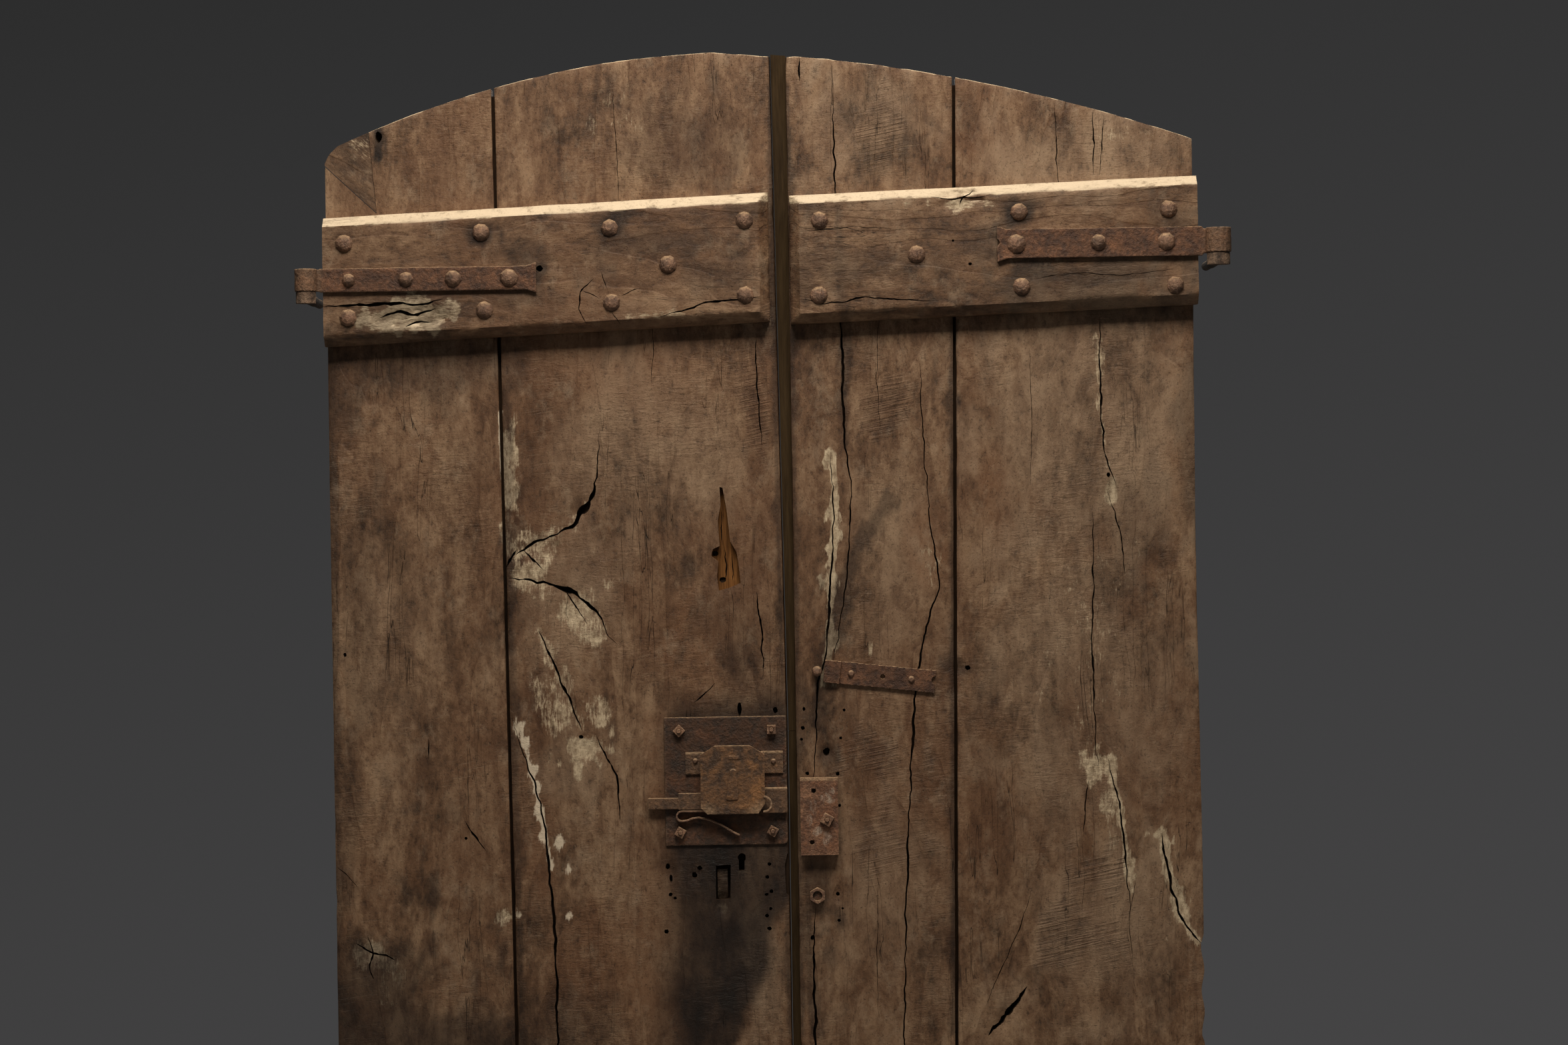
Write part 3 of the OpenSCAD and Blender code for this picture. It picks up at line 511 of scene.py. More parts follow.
def new_material(name):
    """A material with its node tree, its shader and the sockets of its texture coordinates."""
    material = bpy.data.materials.new(name)
    material.use_nodes = True
    tree = material.node_tree
    return material, tree, tree.nodes["Principled BSDF"], put(tree, "ShaderNodeTexCoord").outputs


def painted(tree, name):
    """A mask that was painted on the mesh's points."""
    return put(tree, "ShaderNodeAttribute", attribute_name=name, attribute_type="GEOMETRY").outputs["Fac"]


def upward(tree, coords):
    """How far the surface faces up."""
    return put(tree, "ShaderNodeSeparateXYZ", {0: coords["Normal"]}).outputs["Z"]


def surface(tree, shader, colour, roughness, height, strength, depth):
    """Links a colour, a roughness and a relief of the given depth in metres to the shader."""
    relief = put(tree, "ShaderNodeBump", {"Height": height, "Strength": strength, "Distance": depth})
    tree.links.new(colour, shader.inputs["Base Color"])
    tree.links.new(roughness, shader.inputs["Roughness"])
    tree.links.new(relief.outputs["Normal"], shader.inputs["Normal"])


STAIN = (0.135, 0.06, 0.027)
FIGURE_LINE = (0.45, 0.33, 0.25)
RUST_RUN = (0.16, 0.066, 0.027)
DUST = (0.29, 0.205, 0.136)
DARK_FLECK = (0.035, 0.019, 0.01)
DIRT = (0.03, 0.018, 0.01)
SCRATCH = (0.36, 0.25, 0.16)
KERF = (0.4, 0.33, 0.28)
HAIR_CRACK = (0.012, 0.008, 0.005)
BLEACHED = ((0.22, 0.155, 0.095), (0.56, 0.45, 0.31))
WHITE_FILLER = (0.6, 0.5, 0.38)
SOOT_AND_SHADE = (0.09, 0.075, 0.075)


def old_wood(name, turn=(0, 0, 0), tones=((0.045, 0.021, 0.009), (0.15, 0.082, 0.044), (0.275, 0.176, 0.105)),
             waviness=0.05, highlight_colour=(0.8, 0.64, 0.44)):
    """Weathered wood. turn lays the grain along the board; tones are its dark, middle and pale colours. Upward
    faces turn paler, partly as dust and partly as a painted highlight.
    """
    material, tree, shader, coords = new_material(name)
    here = coords["Object"]
    lengthways = put(tree, "ShaderNodeMapping", {"Vector": here, "Rotation": turn}).outputs[0]
    grain = place(tree, GRAIN, {"Vector": lengthways, "Waviness": waviness})
    grime = place(tree, GRIME, {"Vector": here})
    colour = wood_tones(tree, grain, tones)
    colour = overlaid(tree, colour, grime["Stains"], 0.42, STAIN)
    colour = overlaid(tree, colour, grain["Figure"], 0.42, FIGURE_LINE, "MULTIPLY")
    colour = dirt_over(tree, colour, grain, grime)
    colour = marks_over(tree, lengthways, colour, grain)
    # Painted highlight on upward faces, partly dust settled there
    lit = times(tree, ranged(tree, upward(tree, coords), 0.42, 0.68),
                ranged(tree, grain["Flecks"], 0.34, 0.47, 0.3, 0.95))
    colour = mixed(tree, lit, colour, highlight_colour)
    roughness = ranged(tree, grain["Clouds"], 0.3, 0.7, 0.48, 0.72)
    surface(tree, shader, colour, roughness, wood_height(tree, grain, grime), 1.0, 0.0016)
    shader.inputs["Specular IOR Level"].default_value = 0.35
    return material


def wood_tones(tree, grain, tones):
    """Dark, middle and pale wood, by the clouds, flecks and streaks of the grain."""
    tone = weighed(tree, [(grain["Clouds"], 0.66), (grain["Streaks"], 0.1), (grain["Flecks"], 0.24)])
    lower = mixed(tree, ranged(tree, tone, 0.415, 0.495), tones[0], tones[1])
    return mixed(tree, ranged(tree, tone, 0.495, 0.575), lower, tones[2])


def dirt_over(tree, colour, grain, grime):
    """Lays rust runs, dust, flecks, dirt, scratches, saw marks and drying cracks over the wood."""
    blotched = ranged(tree, grain["Clouds"], 0.38, 0.6, 0.4, 1.2)
    colour = mixed(tree, times(tree, painted(tree, "rust"), blotched), colour, RUST_RUN)
    settled = times(tree, painted(tree, "dusty"), ranged(tree, grain["Clouds"], 0.4, 0.58, 0.2, 1))
    dusty = math_of(tree, "MAXIMUM", ranged(tree, grime["Dust"], 0, 1, 0, 0.5), settled)
    colour = mixed(tree, dusty, colour, DUST)
    colour = mixed(tree, ranged(tree, grain["Flecks"], 0.3, 0.42, 0.6, 0.0), colour, DARK_FLECK)
    colour = overlaid(tree, colour, grime["Dirt grains"], 0.55, DIRT)
    colour = overlaid(tree, colour, grime["Scratches"], 0.35, SCRATCH)
    sawn = times(tree, painted(tree, "sawn"), ranged(tree, grime["Kerfs"], 0, 1, 0.7, 0.0))
    colour = mixed(tree, sawn, colour, KERF, "MULTIPLY")
    return mixed(tree, grain["Hair cracks"], colour, HAIR_CRACK)


def marks_over(tree, here, colour, grain):
    """Lays bleached wood, white filler, and soot with some painted shade, over the wood where they were painted.
    """
    pale = mixed(tree, ranged(tree, grain["Flecks"], 0.38, 0.6), *BLEACHED)
    for name, laid in (("bleach", pale), ("filler", WHITE_FILLER)):
        mask = place(tree, RAGGED, {"Mask": painted(tree, name), "Vector": here, "Break": 3.0})["Mask"]
        colour = mixed(tree, mask, colour, laid)
    # Soot darkens the wood, and below the top left batten the same mask is a painted shade
    soot_and_shade = times(tree, painted(tree, "soot_and_shade"), ranged(tree, grain["Clouds"], 0.35, 0.6, 1.2, 0.95))
    return overlaid(tree, colour, soot_and_shade, 1.0, SOOT_AND_SHADE, "MULTIPLY")


def wood_height(tree, grain, grime):
    """Relief of worn wood, with saw marks across the grain where they were painted."""
    sawn = times(tree, grime["Kerfs"], painted(tree, "sawn"))
    return weighed(tree, [
        (grain["Streaks"], 0.35), (grain["Flecks"], 0.9), (grain["Figure"], -0.25), (grain["Clouds"], 0.6),
        (grime["Crinkles"], 1.0), (grain["Hair cracks"], -0.8), (grime["Dirt grains"], -0.2),
        (grime["Scratches"], -0.25), (sawn, 1.3)])


def crack_wood(name, dark, pale):
    """Broken or hidden wood: dry and fibrous, between a dark and a pale tone."""
    material, tree, shader, coords = new_material(name)
    grain = place(tree, GRAIN, {"Vector": coords["Object"], "Waviness": 0.03})
    colour = mixed(tree, ranged(tree, grain["Streaks"], 0.35, 0.65), dark, pale)
    roughness = ranged(tree, grain["Clouds"], 0.3, 0.7, 0.75, 0.95)
    surface(tree, shader, colour, roughness, grain["Streaks"], 0.9, 0.0025)
    shader.inputs["Specular IOR Level"].default_value = 0.12
    return material


BLACK_SCALE = (0.03, 0.018, 0.013)
PIT = (0.02, 0.012, 0.009)
RUBBED_IRON = (0.34, 0.225, 0.15)
SCRAPED_PAINT = (0.42, 0.33, 0.26)
LIT_RUST = (0.55, 0.37, 0.22)


def old_iron(name, dark, brown, bloom, roughness=(0.5, 0.82), rubbed=0.05, metallic=0.2):
    """Rusted iron in a dark, a brown and a bloom colour, with rubbed edges, and a pale colour on upward faces and
    where bright was painted, partly dust and partly a painted highlight.
    """
    material, tree, shader, coords = new_material(name)
    here = coords["Object"]
    rust = place(tree, RUST, {"Vector": here})
    wear = place(tree, WEAR, {"Vector": here, "Reach": rubbed})["Wear"]
    colour = mixed(tree, ranged(tree, rust["Blotches"], 0.4, 0.58), dark, brown)
    colour = overlaid(tree, colour, rust["Bloom"], 0.8, bloom)
    colour = mixed(tree, ranged(tree, rust["Flakes"], 0, 1, 0.4, 0.0), colour, BLACK_SCALE)
    colour = mixed(tree, ranged(tree, rust["Pits"], 0, 1, 0.16, 0.0), colour, PIT)
    colour = overlaid(tree, colour, wear, 0.55, RUBBED_IRON)
    marks = place(tree, RAGGED, {"Mask": painted(tree, "filler"), "Vector": here, "Break": 1.7})["Mask"]
    colour = mixed(tree, marks, colour, SCRAPED_PAINT)
    # Painted highlight on upward faces and where bright was painted, partly dust settled on top
    lit = math_of(tree, "MAXIMUM", ranged(tree, upward(tree, coords), 0.35, 0.85), painted(tree, "bright"))
    lit = times(tree, lit, ranged(tree, rust["Flakes"], 0, 1, 0.45, 0.9))
    colour = mixed(tree, lit, colour, LIT_RUST)
    height = weighed(tree, [(rust["Blotches"], 0.8), (rust["Flakes"], 0.6), (rust["Pits"], 0.2)])
    surface(tree, shader, colour, ranged(tree, rust["Blotches"], 0.3, 0.7, *roughness), height, 0.9, 0.0013)
    tree.links.new(ranged(tree, rust["Bloom"], 0, 1, metallic, 0.1), shader.inputs["Metallic"])
    return material


ALONG_X = (0, math.pi / 2, 0)
PLANK_WOOD = old_wood("plank_wood")
BATTEN_WOOD = old_wood("batten_wood", ALONG_X, waviness=0.06, highlight_colour=(0.72, 0.585, 0.425),
                       tones=((0.04, 0.019, 0.009), (0.14, 0.076, 0.04), (0.265, 0.166, 0.098)))
PATCH_WOOD = old_wood("patch_wood", (0, 0.9, 0),
                      tones=((0.03, 0.014, 0.006), (0.085, 0.046, 0.024), (0.17, 0.1, 0.056)))
PLUG_WOOD = old_wood("plug_wood", highlight_colour=(0.3, 0.2, 0.12),
                     tones=((0.01, 0.006, 0.004), (0.028, 0.017, 0.01), (0.05, 0.031, 0.018)))
# Near black inside cracks and holes: dirty wood, darkened further as a painted shade in the recesses
CRACK_WOOD = crack_wood("wood_inside_cracks", (0.009, 0.0055, 0.0035), (0.04, 0.022, 0.012))
TONGUE_WOOD = crack_wood("tongue_wood", (0.018, 0.01, 0.004), (0.055, 0.034, 0.015))
TORN_WOOD = crack_wood("torn_wood", (0.03, 0.011, 0.003), (0.26, 0.115, 0.036))
RUSTY_IRON = old_iron("rusty_iron", (0.07, 0.031, 0.018), (0.16, 0.074, 0.04), (0.27, 0.12, 0.058))
PLATE_IRON = old_iron("plate_iron", (0.036, 0.02, 0.013), (0.09, 0.042, 0.022), (0.17, 0.068, 0.03))
LOCK_IRON = old_iron("lock_iron", (0.085, 0.045, 0.024), (0.18, 0.096, 0.05), (0.32, 0.165, 0.08),
                     metallic=0.1)
NAIL_IRON = old_iron("nail_iron", (0.1, 0.052, 0.034), (0.25, 0.14, 0.088), (0.37, 0.195, 0.118),
                     roughness=(0.38, 0.66), rubbed=0.06)
COVER_IRON = old_iron("cover_iron", (0.07, 0.035, 0.017), (0.2, 0.098, 0.043), (0.38, 0.175, 0.062),
                      metallic=0.1)
NUT_IRON = old_iron("nut_iron", (0.17, 0.085, 0.05), (0.34, 0.185, 0.11), (0.5, 0.3, 0.18), metallic=0.1)
KEEPER_IRON = old_iron("keeper_iron", (0.14, 0.062, 0.033), (0.27, 0.12, 0.062), (0.38, 0.2, 0.112),
                       metallic=0.1)
PINTLE_IRON = old_iron("pintle_iron", (0.016, 0.009, 0.006), (0.045, 0.022, 0.013), (0.09, 0.04, 0.022),
                       roughness=(0.75, 0.95), metallic=0.0)


# Marks painted on the wood --------------------------------------------------

def spot(points, bend, x, z, wide, high, strength):
    """A soft-edged patch with a wandering outline."""
    away = np.hypot((points[:, 0] - x) / wide, (points[:, 2] - z) / high) * np.maximum(0.4, 1 + bend)
    return strength * (1 - smooth(away, 0.35, 1.15))


def away_from(points, chain):
    """Distance of each point from a chain, seen from the front."""
    nearest = np.full(len(points), 1e9)
    flat = points[:, [0, 2]]
    for a, b in zip(chain[:-1], chain[1:]):
        a = np.array(a, float)
        run = np.array(b, float) - a
        t = np.clip((flat - a) @ run / (run @ run), 0, 1)
        nearest = np.minimum(nearest, np.linalg.norm(flat - a - t[:, None] * run, axis=1))
    return nearest


def reaches(points, chain, margin):
    """Whether a chain comes near the points' box."""
    chain = np.array([c[:2] for c in chain])
    low, high = points.min(0)[[0, 2]] - margin, points.max(0)[[0, 2]] + margin
    return (chain.min(0) < high).all() and (chain.max(0) > low).all()


# Where the soot round the lock fades out, and where its slanting right rim runs at two heights
SOOT_LEFT = (-170, -112)
SOOT_FOOT = (560, 700)
SOOT_TOP = (1110, 1185)
SOOT_SLANT_Z = (690, 904)
SOOT_SLANT_X = (-52, 40)


def lock_soot(points):
    """The greasy dark patch round the lock. On the right it ends along a slanting line."""
    x = points[:, 0] + 16 * rough(points, (40, THROUGH, 60), 23)
    z = points[:, 2] + 20 * rough(points, (50, THROUGH, 50), 29)
    right = np.interp(z, SOOT_SLANT_Z, SOOT_SLANT_X)
    sides = smooth(x, *SOOT_LEFT) * (1 - smooth(x, right - 16, right + 12))
    sides *= 0.9 + 0.1 * rough(points, (60, THROUGH, 90), 31)
    return sides * smooth(z, *SOOT_FOOT) * (1 - smooth(z, *SOOT_TOP))


# Patches as (x, z, half width, half height, strength) and bands as (chain, half width, strength)
# Most are soot and grime; the spot at (-450, 1590) is painted shade below the top left batten
SOOT_AND_SHADE_SPOTS = [
    (-45, 1195, 34, 42, 0.55), (-62, 1250, 50, 70, 0.3), (-30, 1215, 30, 80, 0.3), (-103, 1321, 16, 30, 0.6),
    (-520, 715, 120, 150, 0.75), (-430, 690, 130, 90, 0.7), (-540, 1300, 30, 200, 0.3),
    (-270, 700, 110, 70, 0.4), (71, 1112, 11, 40, 0.5), (-560, 1000, 24, 160, 0.3),
    (-560, 1560, 26, 90, 0.3), (60, 905, 34, 60, 0.55), (44, 990, 16, 80, 0.5), (52, 1130, 26, 40, 0.4),
    (74, 1072, 16, 22, 0.5), (250, 1180, 26, 16, 0.6), (480, 1370, 70, 110, 0.25), (560, 1480, 26, 160, 0.4),
    (-340, 1590, 40, 60, 0.4), (-305, 1730, 40, 34, 0.45), (-330, 1680, 70, 26, 0.4),
    (-369, 1761, 30, 22, 0.85), (-200, 1766, 32, 24, 0.85), (337, 1779, 34, 24, 0.9),
    (-150, 1745, 110, 30, 0.45), (-470, 1668, 120, 18, 0.35), (440, 1694, 150, 26, 0.6),
    (400, 1670, 160, 30, 0.5), (300, 1735, 60, 30, 0.3), (-110, 1880, 110, 70, 0.4),
    (-450, 1590, 150, 60, 0.45), (140, 1712, 150, 26, 0.35), (-60, 1700, 60, 30, 0.35),
    (540, 1740, 44, 64, 0.62), (49, 1700, 30, 50, 0.4), (-293, 1714, 18, 14, 0.8), (-23, 1790, 26, 20, 0.5),
    (75, 1790, 26, 22, 0.45), (-549, 1757, 24, 20, 0.4)]
SOOT_BANDS = [
    ([(60, 1120), (74, 1200), (92, 1280), (124, 1350), (160, 1400)], 13, 0.55),
    ([(48, 880), (46, 800), (52, 700)], 9, 0.5), ([(-344, 1560), (-338, 1100), (-334, 700)], 7, 0.5),
    ([(249, 1640), (240, 1000), (236, 700)], 6, 0.6), ([(-572, 1640), (-573, 700)], 8, 0.5),
    ([(-505, 1908), (-506, 1866)], 9, 0.9), ([(12, 1950), (16, 1200), (20, 700)], 5, 0.5),
    ([(36, 1950), (36, 700)], 5, 0.5), ([(98, 1800), (104, 1640), (106, 1480)], 7, 0.45)]
BLEACH_SPOTS = [
    (-300, 1355, 34, 26, 0.55), (-322, 1310, 30, 24, 0.6), (-262, 1262, 34, 40, 0.7),
    (-232, 1238, 30, 30, 0.6), (-290, 1130, 30, 50, 0.45), (-241, 1081, 26, 26, 0.85),
    (-225, 1135, 22, 30, 0.5), (-336, 1420, 12, 50, 0.5), (-334, 1480, 8, 60, 0.6),
    (457, 1407, 12, 30, 0.95), (430, 1045, 16, 30, 0.8), (445, 1000, 12, 50, 0.5), (540, 860, 16, 40, 0.6),
    (-530, 817, 22, 22, 0.6), (-500, 790, 20, 30, 0.4), (220, 1320, 14, 30, 0.35), (134, 1206, 5, 26, 0.7),
    (-120, 1650, 60, 6, 0.4), (-460, 1656, 50, 20, 0.95), (-412, 1662, 26, 16, 0.7),
    (265, 1790, 44, 14, 0.75), (-68, 868, 15, 10, 0.7), (-40, 914, 10, 5, 0.6), (500, 1880, 60, 10, 0.35),
    (-352, 862, 12, 12, 0.6), (-180, 1905, 60, 40, 0.2), (-520, 1880, 26, 30, 0.3),
    (420, 1200, 60, 200, 0.2)]
BLEACH_BANDS = [
    ([(88, 1467), (90, 1389), (84, 1290), (79, 1212), (70, 1161)], 7, 0.95),
    ([(446, 1057), (459, 998), (468, 939), (474, 880)], 7, 0.7),
    ([(515, 958), (526, 899), (540, 848), (560, 815)], 9, 0.85),
    ([(-345, 1500), (-343, 1400)], 6, 0.7), ([(440, 1620), (444, 1500), (452, 1440)], 4, 0.45),
    ([(-304, 1238), (-287, 1199), (-266, 1150), (-250, 1110)], 9, 0.5),
    ([(-336, 1339), (-300, 1352), (-262, 1378), (-236, 1405)], 7, 0.5)]
FILLER_SPOTS = [
    (-334, 1105, 5, 12, 1), (-321, 1091, 6, 9, 1), (-317, 1054, 8, 14, 1), (-308, 1032, 6, 12, 1),
    (-307, 1000, 9, 14, 1), (-302, 968, 8, 13, 1), (-280, 959, 8, 9, 0.9), (-269, 922, 6, 12, 0.8),
    (-270, 861, 6, 10, 1), (-336, 864, 8, 8, 0.7)]
KEEPER_MARKS = [(72, 1012, 14, 12, 0.5), (56, 1000, 8, 18, 0.36), (60, 968, 12, 9, 0.42),
                (72, 958, 10, 16, 0.45), (80, 1022, 8, 10, 0.42), (50, 985, 7, 16, 0.34)]
FILLER_BANDS = [([(-330, 1112), (-318, 1060), (-307, 1010), (-298, 960), (-292, 925)], 5, 0.8),
                ([(-351, 1530), (-350, 1440)], 3, 0.7)]
RUST_SPOTS = [
    (-180, 1570, 130, 70, 0.4), (-90, 1230, 70, 110, 0.4), (212, 1340, 34, 55, 0.5),
    (300, 1420, 34, 80, 0.45), (-140, 1010, 20, 50, 0.5), (-150, 1100, 20, 40, 0.3),
    (120, 1000, 40, 30, 0.25), (-250, 800, 60, 90, 0.35), (-300, 960, 22, 90, 0.25),
    (-190, 760, 50, 60, 0.35), (-560, 700, 40, 60, 0.3), (300, 1870, 60, 30, 0.3), (100, 1880, 50, 40, 0.3),
    (-120, 1880, 60, 40, 0.22), (-120, 1580, 60, 30, 0.25)]
DUSTY_SPOTS = [
    (430, 1500, 190, 260, 0.6), (420, 1150, 170, 220, 0.6), (450, 830, 150, 140, 0.5),
    (140, 1890, 120, 90, 0.7), (420, 1850, 190, 70, 0.6), (-180, 1500, 120, 150, 0.4),
    (-250, 1280, 90, 90, 0.5), (150, 900, 90, 150, 0.4), (-12, 770, 34, 90, 0.9), (-20, 820, 30, 60, 0.8),
    (-500, 1250, 60, 160, 0.25), (150, 1300, 60, 200, 0.3), (-270, 1060, 60, 60, 0.5),
    (-100, 1450, 100, 100, 0.3)]
SAWN_SPOTS = [
    (153, 1883, 50, 50, 0.5), (160, 1526, 45, 45, 0.55), (141, 1066, 42, 30, 0.6), (424, 908, 25, 35, 0.6),
    (395, 822, 52, 42, 0.6), (-10, 1520, 26, 72, 0.5), (150, 950, 40, 60, 0.3)]


PAINTED = {"bleach": (BLEACH_SPOTS, BLEACH_BANDS), "soot_and_shade": (SOOT_AND_SHADE_SPOTS, SOOT_BANDS),
           "filler": (FILLER_SPOTS, FILLER_BANDS), "rust": (RUST_SPOTS, []), "sawn": (SAWN_SPOTS, []),
           "dusty": (DUSTY_SPOTS, [])}
FRONT_ONLY = (-6, 4)  # where the marks fade out, going back through the planks
DAMP_H = 110.0
DAMP = 0.6


def painted_marks(points):
    """Each mask and its value at the points: marks on the front, and the damp foot all round."""
    masks = {}
    broad = 0.9 * rough(points, (30, THROUGH, 50), 11) + 0.5 * rough(points, (9, THROUGH, 16), 13)
    narrow = 1.1 * rough(points, (14, THROUGH, 34), 17) + 0.6 * rough(points, (5, THROUGH, 9), 19)
    for name, (spots, bands) in PAINTED.items():
        value = np.zeros(len(points))
        for x, z, wide, high, strength in spots:
            if reaches(points, [(x, z)], 2 * max(wide, high)):
                value = np.maximum(value, spot(points, broad, x, z, wide, high, strength))
        for chain, width, strength in bands:
            if reaches(points, chain, 3 * width):
                band = 1 - smooth(away_from(points, chain) / width * np.maximum(0.3, 1 + narrow), 0.3, 1.2)
                value = np.maximum(value, strength * band)
        masks[name] = value
    masks["soot_and_shade"] = np.maximum(masks["soot_and_shade"], lock_soot(points)) * (1 - 0.9 * masks["filler"])
    front = 1 - smooth(points[:, 1], *FRONT_ONLY)
    for name in masks:
        masks[name] = masks[name] * front
    damp = DAMP * (1 - smooth(points[:, 2] + 40 * rough(points, (40, THROUGH, 60), 67), 0, DAMP_H))
    masks["soot_and_shade"] = np.maximum(masks["soot_and_shade"], damp)
    return masks


def paint(piece, masks):
    """Stores the masks on the piece's points."""
    for name, value in masks.items():
        attribute = piece.data.attributes.new(name, "FLOAT", "POINT")
        attribute.data.foreach_set("value", np.asarray(value, np.float32))


# Planks ---------------------------------------------------------------------

def arch(x):
    """Height of the arch's edge, worn down beside the meeting line and at the left shoulder."""
    left = x < CROWN_X
    centre = np.where(left, CROWN_X + LEFT_SHIFT, CROWN_X - RIGHT_SHIFT)
    radius = np.where(left, LEFT_ARCH_R, RIGHT_ARCH_R)
    shift = np.where(left, LEFT_SHIFT, RIGHT_SHIFT)
    drop = np.sqrt(radius ** 2 - shift ** 2) - np.sqrt(radius ** 2 - (x - centre) ** 2)
    worn = np.interp(x, [-577, -571, -560, -200, -66, -35, 12, 32, 53], [15, 6, 0, 0, 1.5, 2.4, 3, 1.8, 0])
    return CROWN_Z - drop - worn


def joint(ends, side):
    """Edge line of a plank beside a joint. side is -1 left of the joint and 1 right of it."""
    return lambda z: ends[0] + (ends[1] - ends[0]) * z / CROWN_Z + side * PLANK_GAP / 2


def upright(x):
    return lambda z: np.full_like(z, x)


def meeting_edge(z):
    """The left leaf's meeting edge, which leans back above."""
    return LEFT_MEET - LEAN * np.maximum(0, (z - LEAN_Z) / (CROWN_Z - LEAN_Z))


def chipped_edge(z):
    """The right leaf's outer edge, with chips low down."""
    chips = 4 * smooth(z, 676, 690) * (1 - smooth(z, 812, 826)) * (0.5 + 0.5 * np.sin(z / 9.0))
    return RIGHT_EDGE - chips - 1.2 * (1 + np.sin(z / 173.0))


# Hollows as (x, z, half width, half height, depth)
HOLLOWS = [
    (71, 1112, 10, 44, 1.6), (-56, 1350, 20, 80, 2.5), (-56, 1318, 30, 44, 2.5), (-103, 1321, 10, 16, 2),
    (-262, 1262, 34, 34, 2.2), (-300, 1345, 40, 18, 2.4), (-250, 1392, 20, 14, 3), (-241, 1081, 24, 24, 2.5),
    (457, 1407, 12, 26, 3), (434, 1045, 14, 24, 3), (540, 860, 14, 36, 2.5), (303, 717, 12, 26, 3),
    (-530, 817, 20, 18, 2.5), (-404, 963, 12, 20, 1.5), (74, 1072, 13, 16, 4), (250, 1180, 12, 10, 4),
    (-352, 862, 10, 10, 3), (86, 884, 9, 10, 4), (-134, 918, 10, 14, 4), (-102, 914, 10, 13, 3.5),
    (-68, 868, 15, 9, 3.5), (-8, 1190, 8, 60, 1.5)]


def hollows_at(points):
    """How deep the board's face is hollowed, at old damage and along the wider cracks."""
    deep = np.zeros(len(points))
    ragged = 0.6 + 0.5 * rough(points, (9, THROUGH, 12), 37)
    for cracks in CRACKS.values():
        for chain, width in cracks:
            if width > 2.3 and reaches(points, chain, 3 * width):
                away = away_from(points, [c[:2] for c in chain])
                deep += 0.45 * width * ragged * (1 - smooth(away, 0, 2.4 * width))
    for x, z, wide, high, depth in HOLLOWS:
        away = np.hypot((points[:, 0] - x) / wide, (points[:, 2] - z) / high)
        deep += depth * (1 - smooth(away, 0.2, 1.0))
    return deep


def board_wear(points, u, v, w, width, seed):
    """How far each point of a board is worn back: flats undulate, and edges are rounded and chipped."""
    beside = np.minimum(u, 1 - u) * width
    below = (1 - w) * CROWN_Z
    near = np.minimum(beside, below)
    chips = smooth(rough(points, (14, 40, 34), seed + 2), 0.25, 0.75)
    flat = 0.55 + 0.55 * rough(points, (70, 90, 420), seed) + 0.28 * noise(points, (8, 30, 170), seed + 1)
    flat += 0.22 * noise(points, (4.5, 30, 60), seed + 9)
    rounding = np.exp(-near / 2.6) * (1.3 + 0.9 * noise(points, (20, 40, 60), seed + 3))
    rounding += 3.2 * chips * np.exp(-near / 5)
    inward = np.zeros_like(points)
    on_front = v == 0
    on_back = v == 1
    inward[on_front, 1] = (np.maximum(0, flat) + rounding + hollows_at(points))[on_front]
    inward[on_back, 1] = -(np.maximum(0, flat) + 0.6 * rounding)[on_back]
    side = 0.5 + 0.5 * rough(points, (40, 30, 60), seed + 5) + 1.8 * chips * (np.minimum(v, 1 - v) < 0.3)
    inward[u == 0, 0] = side[u == 0]
    inward[u == 1, 0] = -side[u == 1]
    top = 0.9 + 0.9 * rough(points, (22, 12, 60), seed + 6) + 1.6 * chips
    inward[w == 1, 2] = -top[w == 1]
    inward[w == 0, 2] = 1.5 * top[w == 0]
    return inward


BOARD_CELL = (3.6, 7.6)  # across and along the grain
BOARD_DEPTHS = np.array([0, 0.12, 0.5, 0.88, 1])
WIDTH_Z = 1500.0  # the height at which a board's width is measured


def board(name, left, right, seed, foot=0.0, back_bevel=0.0, laps=(0.0, 0.0)):
    """A worn board between two edge lines, from its foot up to the arch. Its left and right sides stand out
    by laps at mid-depth."""
    middle = np.array([WIDTH_Z])
    width = float((right(middle) - left(middle))[0])
    grid, faces = box_grid(shares(width, BOARD_CELL[0]), BOARD_DEPTHS, shares(CROWN_Z - foot, BOARD_CELL[1]))
    u, v, w = grid.T
    z = foot + w * (CROWN_Z - foot)
    for _ in range(3):
        x = left(z) + u * (right(z) - left(z) - back_bevel * v)
        z = foot + w * (arch(x) - foot)
    points = np.stack([x, FRONT + v * (BACK - FRONT), z], axis=1)
    points += board_wear(points, u, v, w, width, seed)
    for side, lap in enumerate(laps):
        ridge = (u == side) & (v == 0.5) & (lap > 0)
        points[ridge, 0] = x[ridge] + (2 * side - 1) * lap
    return mesh_piece(name, points, faces, PLANK_WOOD)


